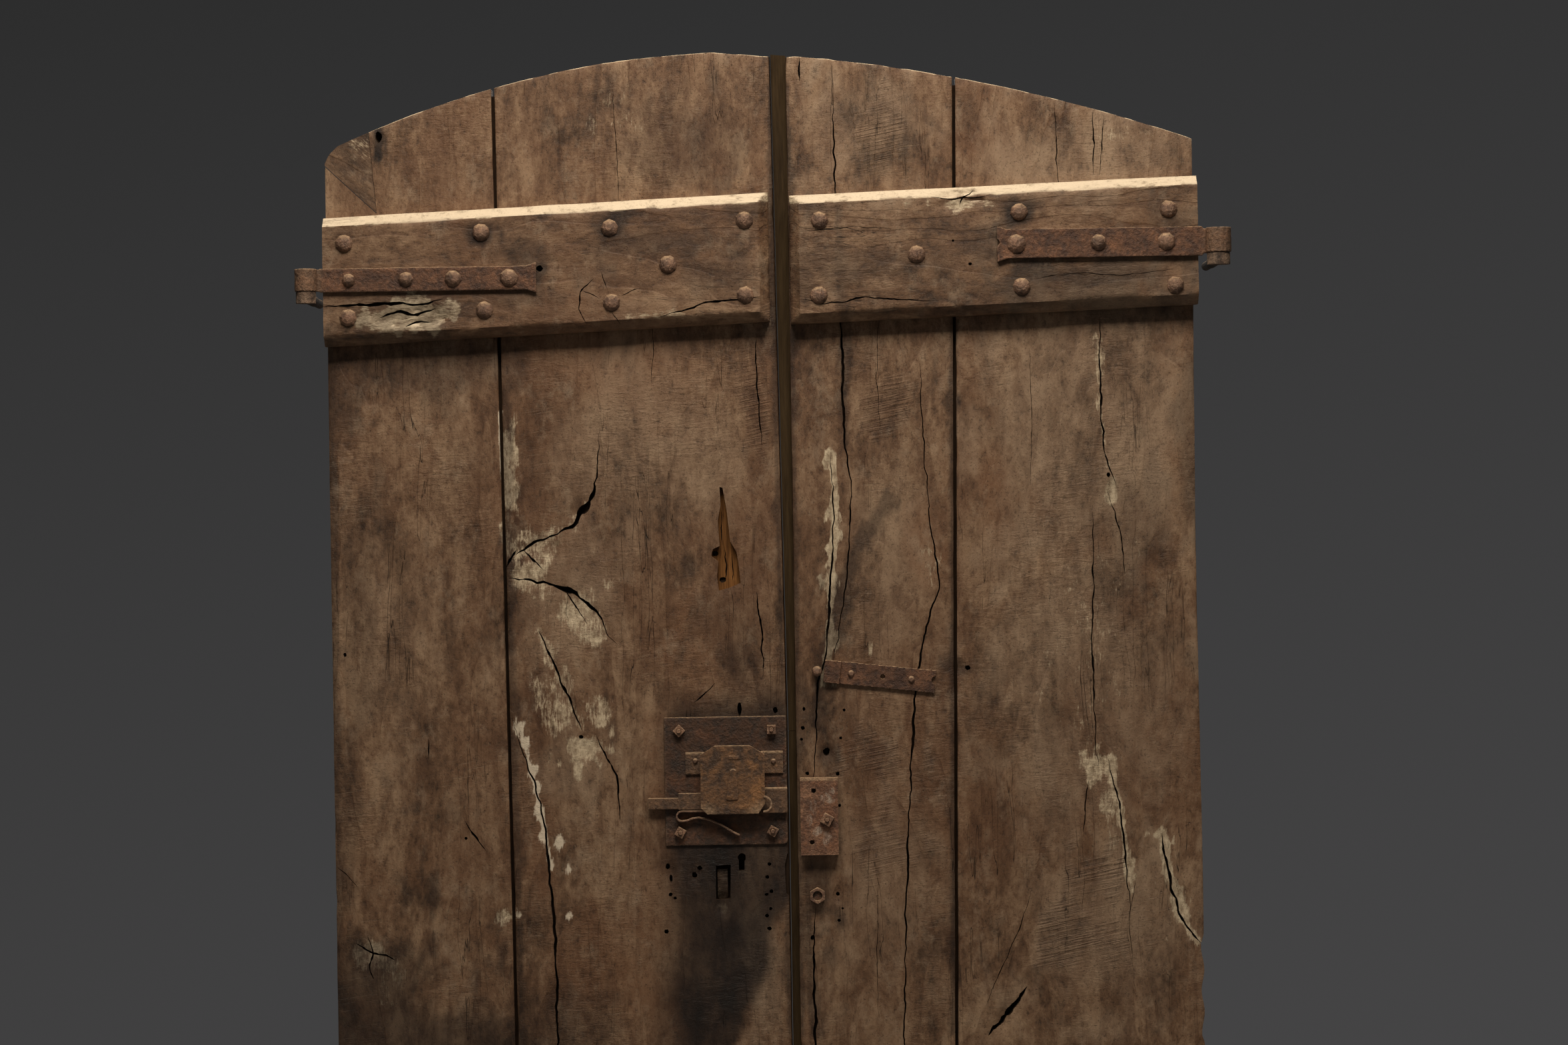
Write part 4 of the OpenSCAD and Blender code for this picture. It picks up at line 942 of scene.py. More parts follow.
# Cracks as (chain of x and z, width) in each plank
CRACKS = {
    "plank_left_outer": [
        ([(-405, 988), (-394, 970), (-378, 949)], 2), ([(-451, 1098), (-450, 1084), (-452, 1070)], 1.5),
        ([(-552, 829), (-541, 822), (-530, 815), (-512, 812), (-500, 806)], 2.5),
        ([(-536, 838), (-530, 817), (-534, 796), (-528, 780)], 2),
        ([(-470, 1760), (-468, 1712), (-472, 1650)], 1.0), ([(-575, 930), (-560, 917), (-548, 903)], 1.2)],
    "plank_left_inner": [
        ([(-219, 1505, 0.25), (-222, 1466, 0.3), (-226, 1424, 0.6), (-233, 1408, 0.9), (-242, 1397, 1.5),
          (-251, 1384, 0.7), (-259, 1374, 0.9), (-280, 1364, 0.5), (-300, 1357, 0.7), (-319, 1349, 1.3),
          (-332, 1339, 0.8)], 5.5),
        ([(-341, 1308, 1.0), (-318, 1308, 0.6), (-303, 1302, 1.1), (-284, 1300, 0.5), (-264, 1291, 1.4),
          (-250, 1284, 0.7), (-236, 1270, 0.9), (-223, 1255, 0.5), (-214, 1232, 0.5),
          (-198, 1216, 0.3)], 5),
        ([(-268, 1290, 1.0), (-256, 1272, 0.6), (-240, 1246, 0.4)], 3),
        ([(-322, 1344, 1), (-310, 1330, 0.8), (-296, 1318, 0.3)], 3),
        ([(-332, 1345), (-340, 1332), (-345, 1322)], 3.5),
        ([(-304, 1238), (-287, 1199), (-266, 1150), (-248, 1104)], 3),
        ([(-230, 1099), (-216, 1070), (-203, 1040), (-200, 985)], 2.4),
        ([(-10, 1626), (-12, 1580), (-9, 1541), (-5, 1476)], 1.8),
        ([(-15, 1285), (-9, 1230), (-8, 1174)], 2.2),
        ([(-341, 1124), (-330, 1086), (-312, 1036), (-298, 972), (-294, 918), (-288, 827), (-287, 695),
          (-290, 560)], 3), ([(-100, 1140), (-86, 1150), (-72, 1165)], 2),
        ([(-150, 1700), (-146, 1610), (-150, 1560)], 0.9),
        ([(-196, 1960), (-190, 1850), (-188, 1780)], 0.8)],
    "plank_right_inner": [
        ([(95, 1984), (97, 1815), (102, 1624), (103, 1546), (105, 1475), (112, 1428), (111, 1380),
        (104, 1302),
          (93, 1228), (84, 1190)], 2.6),
        ([(86, 1467), (89, 1389), (82, 1290), (77, 1212), (64, 1161), (60, 1083), (56, 1042),
        (55, 1000)], 2.6),
        ([(56, 866), (52, 804), (54, 686), (56, 560)], 3),
        ([(205, 1583), (207, 1505), (209, 1457), (215, 1403), (215, 1367), (228, 1288), (217, 1261),
        (201, 1210),
          (190, 1128), (181, 982), (176, 880), (171, 684), (172, 590)], 2.4),
        ([(52, 1990), (52, 1975), (52, 1958)], 2.2), ([(150, 1640), (148, 1560), (152, 1490)], 0.8),
        ([(140, 900), (136, 800), (138, 720)], 0.8)],
    "plank_right_outer": [
        ([(388, 1924), (390, 1880), (390, 1848), (393, 1800)], 1.2),
        ([(439, 1914), (440, 1870), (438, 1828)], 1.6), ([(453, 1907), (450, 1870), (446, 1828)], 1.2),
        ([(443, 1640), (443, 1520), (448, 1461), (454, 1442), (462, 1418)], 2.2),
        ([(450, 1412), (466, 1359), (472, 1300)], 1.6),
        ([(430, 1383), (430, 1285), (427, 1214), (428, 1136), (430, 1065), (434, 1040)], 2),
        ([(446, 1057), (459, 998), (466, 939), (472, 860)], 2.2),
        ([(420, 1030), (414, 995), (411, 960)], 1.6),
        ([(515, 958), (524, 899), (537, 848), (556, 820), (568, 807)], 3.5),
        ([(334, 758), (320, 738), (303, 717), (282, 694)], 6),
        ([(341, 881), (321, 824), (292, 765), (280, 734)], 1.2),
        ([(480, 900), (470, 840), (474, 790)], 1.0), ([(350, 1600), (352, 1500), (349, 1420)], 0.7)]}

# Old holes as (x, z, width, height)
HOLES = {
    "plank_left_outer": [(-560, 1210, 4, 5), (-404, 965, 4, 4), (-505, 1893, 9, 15)],
    "plank_left_inner": [
        (7, 1128, 6, 8), (-40, 1130, 6, 17), (-4, 925, 5, 5), (-7, 908, 5, 5), (-2, 889, 5, 5),
        (-8, 885, 5, 4), (-8, 857, 5, 5), (-5, 840, 6, 5), (-141, 838, 6, 6), (-138, 924, 6, 7),
        (-134, 908, 4, 9), (-96, 921, 6, 6), (-103, 912, 7, 8), (-135, 887, 5, 5), (-129, 882, 4, 4),
        (-69, 1336, 10, 9), (-60, 1301, 12, 9), (-250, 1097, 6, 5), (-3, 866, 4, 4)],
    "plank_right_inner": [
        (43, 1104, 5, 5), (45, 1129, 4, 5), (41, 1089, 4, 4), (48, 1044, 5, 5), (88, 1043, 5, 5),
        (74, 1072, 9, 11), (90, 1001, 4, 4), (98, 1127, 4, 4), (93, 1090, 4, 4), (52, 827, 6, 6),
        (86, 884, 5, 5), (87, 849, 4, 4), (92, 865, 3, 3)],
    "plank_right_outer": [(262, 1180, 7, 6), (452, 1432, 5, 6)]}

# The torn hollow above the lock
GOUGE_CRACKS = [([(-61, 1400, 0.6), (-59, 1370, 1.0), (-60, 1340, 0.5)], 3),
                ([(-48, 1340, 0.6), (-46, 1320, 1.0), (-47, 1296, 0.8)], 3),
                ([(-57, 1345, 0.5), (-56, 1320, 1.0), (-58, 1294, 0.6)], 4)]
GOUGE_DEPTH = 11
GOUGE = [(-62, 1424), (-58, 1423), (-53, 1392), (-49, 1352), (-41, 1338), (-38, 1318), (-36, 1297),
         (-50, 1291), (-65, 1287), (-67, 1306), (-65, 1326), (-74, 1333), (-72, 1342), (-63, 1346),
         (-65, 1380), (-61, 1400)]

KEYHOLE = (-40.5, 934.0)
KEYHOLE_D = 10.5
MORTISE = (-65.0, 902.0)
HOLE_DEPTH = 14.0


def keyhole_cutters():
    """The old keyhole and square mortise, a notch in the meeting edge, and cracks in the torn hollow."""
    x, z = KEYHOLE
    slot = [(x - 3.6, z - 17), (x + 3.6, z - 17), (x + 3.9, z), (x - 3.9, z)]
    x, z = MORTISE
    mortise = [(x - 10, z - 23), (x + 9, z - 22), (x + 10, z + 23), (x - 9.5, z + 22)]
    notch = [(18, 886), (30, 878), (30, 942), (20, 938), (16.5, 924), (17, 904)]
    cutters = [hole_cutter(*KEYHOLE, KEYHOLE_D, KEYHOLE_D, 26, FRONT, 3)]
    cutters += [slab_cutter(outline, FRONT - CLEAR, FRONT + depth)
                for outline, depth in ((slot, 25), (mortise, 21), (notch, 5))]
    cutters += [crack_cutter(chain, width, 12 + width, FRONT, 4 + number)
                for number, (chain, width) in enumerate(GOUGE_CRACKS)]
    return cutters


# The corner patch, and the slightly larger seat cut for it in the plank
PATCH_OUTLINE = [(-509.6, 1793.2), (-518.6, 1900.6), (-521.6, 1940.0), (-590.0, 1940.0), (-590.0, 1868.6)]
PATCH_SEAT = [(-509.0, 1791.6), (-518.0, 1900.6), (-521.0, 1940.0), (-590.0, 1940.0), (-590.0, 1867.2)]


def finish_board(piece, body, node, extra=()):
    """Cracks and holes, marks and shading of one plank, which then stands for its CAD node."""
    cutters = [crack_cutter(chain, width, 9 + 2.2 * width, FRONT, 40 + number)
               for number, (chain, width) in enumerate(CRACKS[node])]
    cutters += [hole_cutter(x, z, wide, high, HOLE_DEPTH, FRONT, 5 + number)
                for number, (x, z, wide, high) in enumerate(HOLES[node])]
    carve(piece, cutters + list(extra), CRACK_WOOD)
    paint(piece, painted_marks(points_of(piece)))
    shade(piece, 50)
    settle(piece, body, "old_wood", node)


def settle(piece, body, slot, *nodes):
    """Rides the piece on its body and lets it stand for the CAD nodes; slot, the name of its finish, is not used.
    """
    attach(piece, body)
    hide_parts(*nodes)


def planks():
    outer = board("left_outer_board", upright(LEFT_EDGE), joint(LEFT_JOINT, -1), 101)
    finish_board(outer, "left_leaf", "plank_left_outer", [slab_cutter(PATCH_SEAT, FRONT - 5, BACK + 5)])
    inner = board("left_inner_board", joint(LEFT_JOINT, 1), meeting_edge, 202, back_bevel=MEET_BEVEL,
                  laps=(0.0, MEET_BEVEL / 2 + 1.4))
    carve(inner, [slab_cutter(GOUGE, FRONT - CLEAR, FRONT + GOUGE_DEPTH)], TORN_WOOD)
    finish_board(inner, "left_leaf", "plank_left_inner", keyhole_cutters())
    inner = board("right_inner_board", upright(RIGHT_MEET), joint(RIGHT_JOINT, -1), 303, laps=(0.3, 0.0))
    finish_board(inner, "right_leaf", "plank_right_inner")
    outer = board("right_outer_board", joint(RIGHT_JOINT, 1), chipped_edge, 404)
    finish_board(outer, "right_leaf", "plank_right_outer")


def joint_dirt_and_shade():
    """Dark fill in the joints between planks: dirt, and a dark piece standing in for the shade inside the gaps."""
    for side, ends, body in (("left", LEFT_JOINT, "left_leaf"), ("right", RIGHT_JOINT, "right_leaf")):
        grid, faces = box_grid(np.array([0, 1.0]), np.array([0, 0.5, 1]), np.linspace(0, 1, 200))
        z = 6 + grid[:, 2] * (arch(np.full(len(grid), ends[1])) - 16)
        x = joint(ends, 0)(z) + (grid[:, 0] - 0.5) * (PLANK_GAP + 5)
        y = 4 * rough(np.stack([x, x, z], axis=1), (9, 9, 14), 51) + grid[:, 1] * 7
        piece = mesh_piece(f"dirt_and_shade_in_{side}_joint", np.stack([x, y, z], axis=1), faces, CRACK_WOOD)
        shade(piece, 50)
        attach(piece, body)


def mortise_plug():
    """The bit of wood left in the old mortise, dark and set back."""
    low, high = box_mm("mortise_plug")
    grid, faces = box_grid(*[np.linspace(0, 1, n) for n in (9, 6, 18)])
    points = low + 0.3 + grid * (high - low - 0.6)
    front = grid[:, 1] == 0
    points[front, 1] += 1.2 + 1.2 * rough(points, (5, 9, 9), 57)[front] + 5 * (1 - grid[front, 2]) ** 3
    piece = mesh_piece("plug_in_mortise", points, faces, PLUG_WOOD)
    shade(piece, 40)
    settle(piece, "left_leaf", "dark_wood", "mortise_plug")


def corner_patch():
    """The small board let into the left shoulder, with its grain running slantwise."""
    piece = board("shoulder_patch", upright(LEFT_EDGE), upright(-505.0), 505, foot=1780.0)
    carve(piece, [slab_cutter(PATCH_OUTLINE, FRONT - 5, BACK + 5)], PATCH_WOOD, "INTERSECT")
    piece.data.materials.clear()
    piece.data.materials.append(PATCH_WOOD)
    paint(piece, painted_marks(points_of(piece)))
    shade(piece, 50)
    settle(piece, "left_leaf", "pale_wood", "corner_patch")


# Battens --------------------------------------------------------------------

BATTEN_CRACKS = {
    "batten_left_top": [
        ([(-579, 1668), (-540, 1669), (-500, 1671), (-446, 1669), (-420, 1676)], 3.5),
        ([(-505, 1652), (-480, 1660), (-455, 1655), (-430, 1664)], 4),
        ([(-470, 1640), (-450, 1648), (-436, 1646)], 3),
        ([(-232, 1640), (-243, 1660), (-238, 1686), (-222, 1700)], 1.8),
        ([(-199, 1655), (-192, 1643), (-186, 1636)], 1.4),
        ([(-214, 1672), (-226, 1680), (-238, 1684)], 1.4),
        ([(-186, 1676), (-172, 1684), (-160, 1686)], 1.2),
        ([(-204, 1684), (-209, 1697), (-212, 1708)], 1.2),
        ([(-136, 1648), (-110, 1656), (-75, 1665), (-40, 1668), (-5, 1672)], 2.6),
        ([(-320, 1800), (-250, 1803), (-180, 1800)], 0.9),
        ([(-545, 1790), (-470, 1792), (-420, 1789)], 0.9)],
    "batten_right_top": [
        ([(284, 1818), (276, 1806), (262, 1796), (259, 1786)], 2.2),
        ([(220, 1800), (250, 1796), (300, 1801)], 2),
        ([(49, 1669), (74, 1662), (100, 1663), (128, 1669), (180, 1666), (225, 1664)], 2.2),
        ([(355, 1690), (410, 1698), (470, 1694), (540, 1700)], 1.2),
        ([(60, 1758), (120, 1762), (170, 1759)], 0.9)],
    "batten_left_bottom": [([(-560, 262), (-480, 258), (-400, 264)], 2.2),
        ([(-300, 330), (-200, 326), (-90, 331)], 1.6)],
    "batten_right_bottom": [([(50, 300), (150, 306), (260, 301)], 2),
        ([(330, 240), (430, 236), (560, 241)], 1.8)]}
BATTEN_HOLES = {"batten_left_top": [(-293, 1714, 9, 8)], "batten_right_top": [(272, 1711, 5, 4),
    (250, 1742, 3, 3)]}


BATTEN_CELL = 5.0
BEVEL_ROWS = (0, 2, 5, 9, 13)


def batten(node, body, slope, meeting_side, seed):
    """A thick board across the planks, bevelled along its front edges and at its meeting end."""
    low, high = box_mm(node)
    length = high[0] - low[0]
    middle = ((low + high) / 2)[[0, 2]]
    us, ws = [shares(side, BATTEN_CELL, BEVEL_ROWS) for side in (length, BATTEN_H)]
    grid, faces = box_grid(us, np.array([0, 0.2, 0.6, 1.0]), ws)
    u, v, w = grid.T
    x = low[0] + u * length
    across = w * BATTEN_H
    z = middle[1] - BATTEN_H / 2 + across + slope * (x - middle[0])
    end = (1 - u) * length if meeting_side > 0 else u * length
    flat = np.stack([x, 0 * x, z], axis=1)
    bevel = BATTEN_BEVEL * (1 + 0.16 * rough(flat, (60, 1, 40), seed))
    inside = np.minimum(np.minimum(across, BATTEN_H - across), end)
    set_back = np.maximum(0, bevel - inside)
    front = BATTEN_FRONT + set_back
    y = front + v * (FRONT - front)
    points = np.stack([x, y, z], axis=1)
    points += batten_wear(points, u, v, w, set_back, seed)
    piece = mesh_piece(node.replace("batten", "bevelled_batten"), points, faces, BATTEN_WOOD)
    cutters = [crack_cutter(chain, width, 6 + 2 * width, BATTEN_FRONT, seed + n)
               for n, (chain, width) in enumerate(BATTEN_CRACKS[node])]
    cutters += [hole_cutter(hx, hz, wide, tall, HOLE_DEPTH, BATTEN_FRONT, seed + n)
                for n, (hx, hz, wide, tall) in enumerate(BATTEN_HOLES.get(node, []))]
    carve(piece, cutters, CRACK_WOOD)
    paint_batten(piece, middle, slope)
    shade(piece, 42)
    settle(piece, body, "old_wood", node)


def batten_wear(points, u, v, w, set_back, seed):
    """Wear of a batten: the rims of its bevels are rubbed round and its ends are ragged."""
    inward = np.zeros_like(points)
    flat = 0.5 + 0.5 * rough(points, (300, 60, 50), seed) + 0.3 * noise(points, (90, 40, 6), seed + 1)
    flat += 1.2 * smooth(rough(points, (30, 20, 14), seed + 2), 0.35, 0.8)
    rim = np.exp(-np.abs(set_back - 2) / 3) * (set_back > 0)
    on_front = v == 0
    inward[on_front, 1] = (np.maximum(0, flat) + 0.9 * rim + batten_hollows(points))[on_front]
    edge = 0.5 + 0.6 * rough(points, (40, 20, 30), seed + 3)
    inward[w == 0, 2] = edge[w == 0]
    inward[w == 1, 2] = -edge[w == 1]
    inward[u == 0, 0] = edge[u == 0]
    inward[u == 1, 0] = -edge[u == 1]
    return inward


# Broken places on the left and the right batten, as (x, z, half width, half height, depth)
BROKEN = [(-458, 1652, 62, 17, 6), (265, 1793, 50, 18, 5)]


def batten_hollows(points):
    """Places where the batten's face is broken away."""
    splinters = np.clip(0.55 + 1.1 * rough(points, (26, 30, 5), 61), 0, 1.2)
    deep = np.zeros(len(points))
    for x, z, wide, high, depth in BROKEN:
        away = np.hypot((points[:, 0] - x) / wide, (points[:, 2] - z) / high)
        deep += depth * (1 - smooth(away, 0.5, 1.05))
    return deep * splinters


def paint_batten(piece, middle, slope):
    """The plank marks, and the pale rubbed bevel along the top."""
    points = points_of(piece)
    masks = painted_marks(points)
    top = middle[1] + BATTEN_H / 2 + slope * (points[:, 0] - middle[0])
    ragged = 3.5 * rough(points, (26, THROUGH, 9), 63)
    rubbed = smooth(points[:, 2] - top + ragged, -BATTEN_BEVEL - 3, -BATTEN_BEVEL + 4)
    masks["bleach"] = np.maximum(masks["bleach"], 0.95 * rubbed)
    masks["soot_and_shade"] *= 1 - rubbed
    paint(piece, masks)


def battens():
    batten("batten_left_top", "left_leaf", LEFT_SLOPE, 1, 11)
    batten("batten_left_bottom", "left_leaf", 0.0, 1, 12)
    batten("batten_right_top", "right_leaf", RIGHT_SLOPE, -1, 13)
    batten("batten_right_bottom", "right_leaf", 0.0, -1, 14)


# Nails ----------------------------------------------------------------------

def loose_parts(node):
    """Points of each separate solid of a CAD node, in millimetres."""
    bm = bmesh.new()
    bm.from_mesh(frame["nodes"][node].data)
    bmesh.ops.remove_doubles(bm, verts=bm.verts, dist=WELD)
    waiting = set(bm.verts)
    parts = []
    while waiting:
        reached = [waiting.pop()]
        found = []
        while reached:
            vert = reached.pop()
            found.append(np.array(vert.co) / MM)
            for edge in vert.link_edges:
                other = edge.other_vert(vert)
                if other in waiting:
                    waiting.remove(other)
                    reached.append(other)
        parts.append(np.array(found))
    bm.free()
    return sorted(parts, key=lambda p: (round(p[:, 0].mean()), round(p[:, 2].mean())))


NAIL_HEAD_H = 8.0
NAIL_RINGS = ((1.0, -0.15), (1.0, 0.14), (0.74, 0.6), (0.34, 0.94))  # shares of the radius and the height
SHANK_HALF = 2.5


def nail_head(x, z, seat, radius, rng):
    """A forged head: hammered facets that rise to a small flat point."""
    sides = int(rng.integers(8, 11))
    start = rng.uniform(0, 2)
    lean = rng.uniform(-1.2, 1.2, 2)
    points = []
    for share, rise in NAIL_RINGS:
        for corner in range(sides):
            turn = start + 2 * math.pi * (corner + rng.uniform(-0.13, 0.13)) / sides
            r = radius * share * rng.uniform(0.93, 1.0)
            height = seat - NAIL_HEAD_H * rise * rng.uniform(0.93, 1.0)
            points.append((x + r * math.cos(turn) + lean[0] * rise, height,
                           z + r * math.sin(turn) + lean[1] * rise))
    return points, tube_faces(sides, len(NAIL_RINGS))


def nail_shank(x, z, seat, tip_z):
    """The square shank, whose end is bent over behind the planks and tapers."""
    path = [(seat - 1, z, SHANK_HALF, 0.0), (BACK - 1, z, SHANK_HALF, 0.0), (BACK + 1.8, z - 1.6, 2.2, 0.8),
            (BACK + 2.2, (z + tip_z) / 2, 1.8, math.pi / 2), (BACK + 1.6, tip_z, 1.0, math.pi / 2)]
    points = []
    for y, middle, h, turn in path:
        for a, b in ((-1, -1), (1, -1), (1, 1), (-1, 1)):
            points.append((x + a * h, y - b * h * math.sin(turn) * 0.8, middle + b * h * math.cos(turn)))
    return points, tube_faces(4, len(path))


def nails(node, body, seed):
    """All the forged nails of one CAD node."""
    rng = np.random.default_rng(seed)
    parts = []
    for solid in loose_parts(node):
        seat = solid[:, 1].min() + NAIL_HEAD_H
        head = solid[solid[:, 1] < seat + 0.05]
        low, high = head.min(0), head.max(0)
        x, z = (low[0] + high[0]) / 2, (low[2] + high[2]) / 2
        parts.append(nail_head(x, z, seat, (high[0] - low[0]) / 2, rng))
        parts.append(nail_shank(x, z, seat, solid[:, 2].min() + 1 if solid[:, 1].max() > BACK + 1 else z - 8))
    piece = join(node.replace("nails", "forged_nails"), parts)
    face_outwards(piece)
    round_edges(piece, 0.5, limit_method="ANGLE", angle_limit=math.radians(8))
    shade(piece, 60)
    piece.data.materials.append(NAIL_IRON)
    nothing = np.zeros(len(piece.data.vertices))
    paint(piece, {"filler": nothing, "bright": nothing})
    settle(piece, body, "forged_nails", node)


def all_nails():
    nodes = [(node, body) for body, members in frame["record"]["behaviour"]["bodies"].items()
             for node in members if "nails" in node]
    for number, (node, body) in enumerate(nodes):
        nails(node, body, 900 + number)


# Ironwork -------------------------------------------------------------------

def forged(node, body, voxel, pitting, seed, bore=None, material=RUSTY_IRON, lit=0.0):
    """A CAD iron part, its edges rubbed round and its faces pitted. bore is (x, y, radius) to keep true, and
    lit is the height of the painted highlight band under the part's top edge."""
    piece = link(node + "_worn", frame["nodes"][node].data.copy())
    piece.data.materials.clear()
    bm = bmesh.new()
    bm.from_mesh(piece.data)
    bmesh.ops.remove_doubles(bm, verts=bm.verts, dist=WELD)
    bm.to_mesh(piece.data)
    bm.free()
    remesh = piece.modifiers.new("skin", "REMESH")
    remesh.mode = "VOXEL"
    remesh.voxel_size = voxel * MM
    bake_modifiers(piece)
    points = points_of(piece)
    normals = normals_of(piece)
    fine = noise(points, (2.6, 2.6, 2.6), seed + 1)
    depth = pitting * (0.55 + 0.6 * rough(points, (9, 9, 9), seed) + 0.35 * fine)
    if bore:
        away = np.hypot(points[:, 0] - bore[0], points[:, 1] - bore[1])
        depth *= smooth(away, bore[2] + 1, bore[2] + 3)
    moved = points - normals * np.maximum(0, depth)[:, None]
    if bore:
        keep_bore(moved, bore)
    set_points(piece, moved)
    shade(piece, 75)
    piece.data.materials.append(material)
    paint(piece, iron_marks(points, node, lit))
    settle(piece, body, "rusty_iron", node)


def iron_marks(points, node, lit):
    """Scraped paint on the keeper, a painted highlight under the upper rims and on the hinge eyes, and paler lower
    corners of the cover.
    """
    bend = 0.4 * rough(points, (9, THROUGH, 9), 15)
    filler = np.zeros(len(points))
    for mark in KEEPER_MARKS if node == "keeper" else ():
        filler = np.maximum(filler, spot(points, bend, *mark))
    bright = np.zeros(len(points))
    # Painted highlight in a band under the part's top edge
    if lit:
        bright = smooth(points[:, 2] - points[:, 2].max(), -lit, -0.5 * lit) * (0.75 + 0.25 * bend)
    # Painted highlight on the hinge eyes
    if "strap" in node:
        bright = 0.22 * smooth(np.abs(points[:, 0]), 572, 584) * (0.7 + 0.6 * bend)
    # Paler lower corners of the cover
    if node == "lock_cover":
        low, high = points.min(0), points.max(0)
        for x, strength in ((high[0], 0.75), (low[0], 0.5)):
            away = np.hypot((points[:, 0] - x) / 1.5, points[:, 2] - low[2]) + 7 * bend
            bright = np.maximum(bright, strength * (1 - smooth(away, 4, 22)))
    return {"filler": filler, "bright": bright}


def keep_bore(points, bore):
    """Sets the points of the bore's wall back on its true radius."""
    x, y, radius = bore
    away = np.hypot(points[:, 0] - x, points[:, 1] - y)
    wall = away < radius + 0.7
    share = (radius + 0.05) / np.maximum(away[wall], 1e-6)
    points[wall, 0] = x + (points[wall, 0] - x) * share
    points[wall, 1] = y + (points[wall, 1] - y) * share


def hinge_axis(body):
    """Where a leaf's hinge axis stands."""
    hinge = [j for j in frame["joints"] if j["child"] == body][0]
    return hinge["pos_m"][0] / MM, hinge["pos_m"][1] / MM


EYE_R = {"left": 9.08, "right": 10.08}


def straps():
    """The strap hinges, whose eyes stay true round their pintles."""
    for side, radius in EYE_R.items():
        axis = hinge_axis(side + "_leaf")
        for number, level in enumerate(("top", "bottom")):
            forged(f"strap_{side}_{level}", side + "_leaf", 1.5, 0.8, 71 + number, bore=(*axis, radius))


def ironwork(body, seed, parts):
    """Iron parts of one body, each with its voxel size, depth of pitting, finish and lit rim."""
    for node, voxel, pitting, material, lit in parts:
        forged(node, body, voxel, pitting, seed, material=material, lit=lit)


def lock():
    ironwork("left_leaf", 81, (
        ("lock_plate", 1.55, 0.5, PLATE_IRON, 0), ("lock_plate_nuts", 0.6, 0.15, NUT_IRON, 1.5),
        ("lock_plate_bolts", 0.9, 0.1, NUT_IRON, 1), ("lock_bridge", 0.9, 0.4, LOCK_IRON, 4),
        ("lock_bridge_rivets", 0.6, 0.2, NAIL_IRON, 0), ("lock_cover", 0.9, 0.5, COVER_IRON, 2),
        ("lock_bolt_guide", 0.9, 0.2, LOCK_IRON, 3), ("lock_spring", 0.6, 0.1, NAIL_IRON, 0)))
    ironwork("lock_bolt", 83, [("lock_bolt", 0.8, 0.35, LOCK_IRON, 3)])


def right_leaf_iron():
    ironwork("right_leaf", 91, (
        ("keeper", 1.0, 0.4, KEEPER_IRON, 5), ("keeper_bolt", 0.8, 0.2, NUT_IRON, 2),
        ("keeper_nut", 0.6, 0.15, NUT_IRON, 3), ("hasp", 1.0, 0.45, RUSTY_IRON, 0),
        ("hasp_rivets", 0.6, 0.2, NAIL_IRON, 0), ("ball_stud", 0.6, 0.3, NAIL_IRON, 0),
        ("hex_bolt", 0.7, 0.3, PLATE_IRON, 0), ("hex_nut", 0.5, 0.1, NUT_IRON, 1.5)))


def spring_curl():
    """The open end of the lock's old spring, curled round beside the cover's lower corner."""
    low, high = box_mm("lock_cover")
    middle = np.array([high[0] - 1.0, low[2] + 13.0])
    turns = np.radians(np.linspace(-100, 95, 22))
    inner = middle + np.stack([8.0 * np.cos(turns), 8.5 * np.sin(turns)], axis=1)
    outer = middle + np.stack([10.2 * np.cos(turns), 10.9 * np.sin(turns)], axis=1)
    points = []
    for a, b in zip(inner, outer):
        points += [(a[0], low[1] + 0.3, a[1]), (b[0], low[1] + 0.3, b[1]),
                   (b[0], high[1] - 0.2, b[1]), (a[0], high[1] - 0.2, a[1])]
    piece = mesh_piece("spring_curl", points, tube_faces(4, len(turns)))
    face_outwards(piece)
    round_edges(piece, 0.4)
    shade(piece, 50)
    piece.data.materials.append(NAIL_IRON)
    # A painted highlight over the whole curl, for its edge lit from above
    plain = np.ones(len(piece.data.vertices))
    paint(piece, {"bright": 0.6 * plain, "filler": 0 * plain})
    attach(piece, "left_leaf")


def carried_over():
    """The CAD nodes that are shown as they are get their finish."""
    show_with("meeting_tongue", TONGUE_WOOD)
    for side in ("left", "right"):
        for level in ("upper", "lower"):
            show_with(f"pintle_{side}_{level}", PINTLE_IRON)


def show_with(node, material):
    mesh = frame["nodes"][node].data
    mesh.materials.clear()
    mesh.materials.append(material)


# Camera, light and floor ----------------------------------------------------

EYE = (0.0225, -5.015, 1.3757)
ROLL = math.radians(0.9)
LENS = 86.93
SENSOR = 36.0

# Lamps as name, place, aim, size, watts and colour, in metres
LAMPS = (("key", (0.05, -1.5, 3.45), (0.0, 0.0, 1.75), (1.8, 0.8), 78, (1.0, 0.91, 0.78)),
         ("fill", (0.0, -4.2, 1.5), (0.0, 0.0, 1.3), (2.4, 2.0), 5, (1.0, 0.93, 0.84)),
         ("back", (0.3, 2.6, 2.6), (0.0, 0.0, 1.2), (2.0, 1.4), 18, (1.0, 0.93, 0.85)))

# The room's grey low down and high up, and the warm glow it gives
WALL_LOW = (0.06, 0.059, 0.06)
WALL_HIGH = (0.026, 0.026, 0.026)
GLOW = (1.0, 0.95, 0.88, 1.0)
GLOW_STRENGTH = 0.05

FLOOR_HALF = 1.75
FLOOR_Z = -0.001
FLOOR_TONES = ((0.5, 0.49, 0.47), (0.56, 0.55, 0.53))


def camera():
    """Looks straight at the door's face, turned a little about the line of sight."""
    data = bpy.data.cameras.new("front_view")
    data.lens = LENS
    data.sensor_width = SENSOR
    seen = bpy.data.objects.new("front_view", data)
    right = (math.cos(ROLL), 0, -math.sin(ROLL))
    up = (math.sin(ROLL), 0, math.cos(ROLL))
    turn = Matrix((right, up, (0, -1, 0))).transposed().to_4x4()
    seen.matrix_world = Matrix.Translation(EYE) @ turn
    bpy.context.scene.collection.objects.link(seen)
    bpy.context.scene.camera = seen


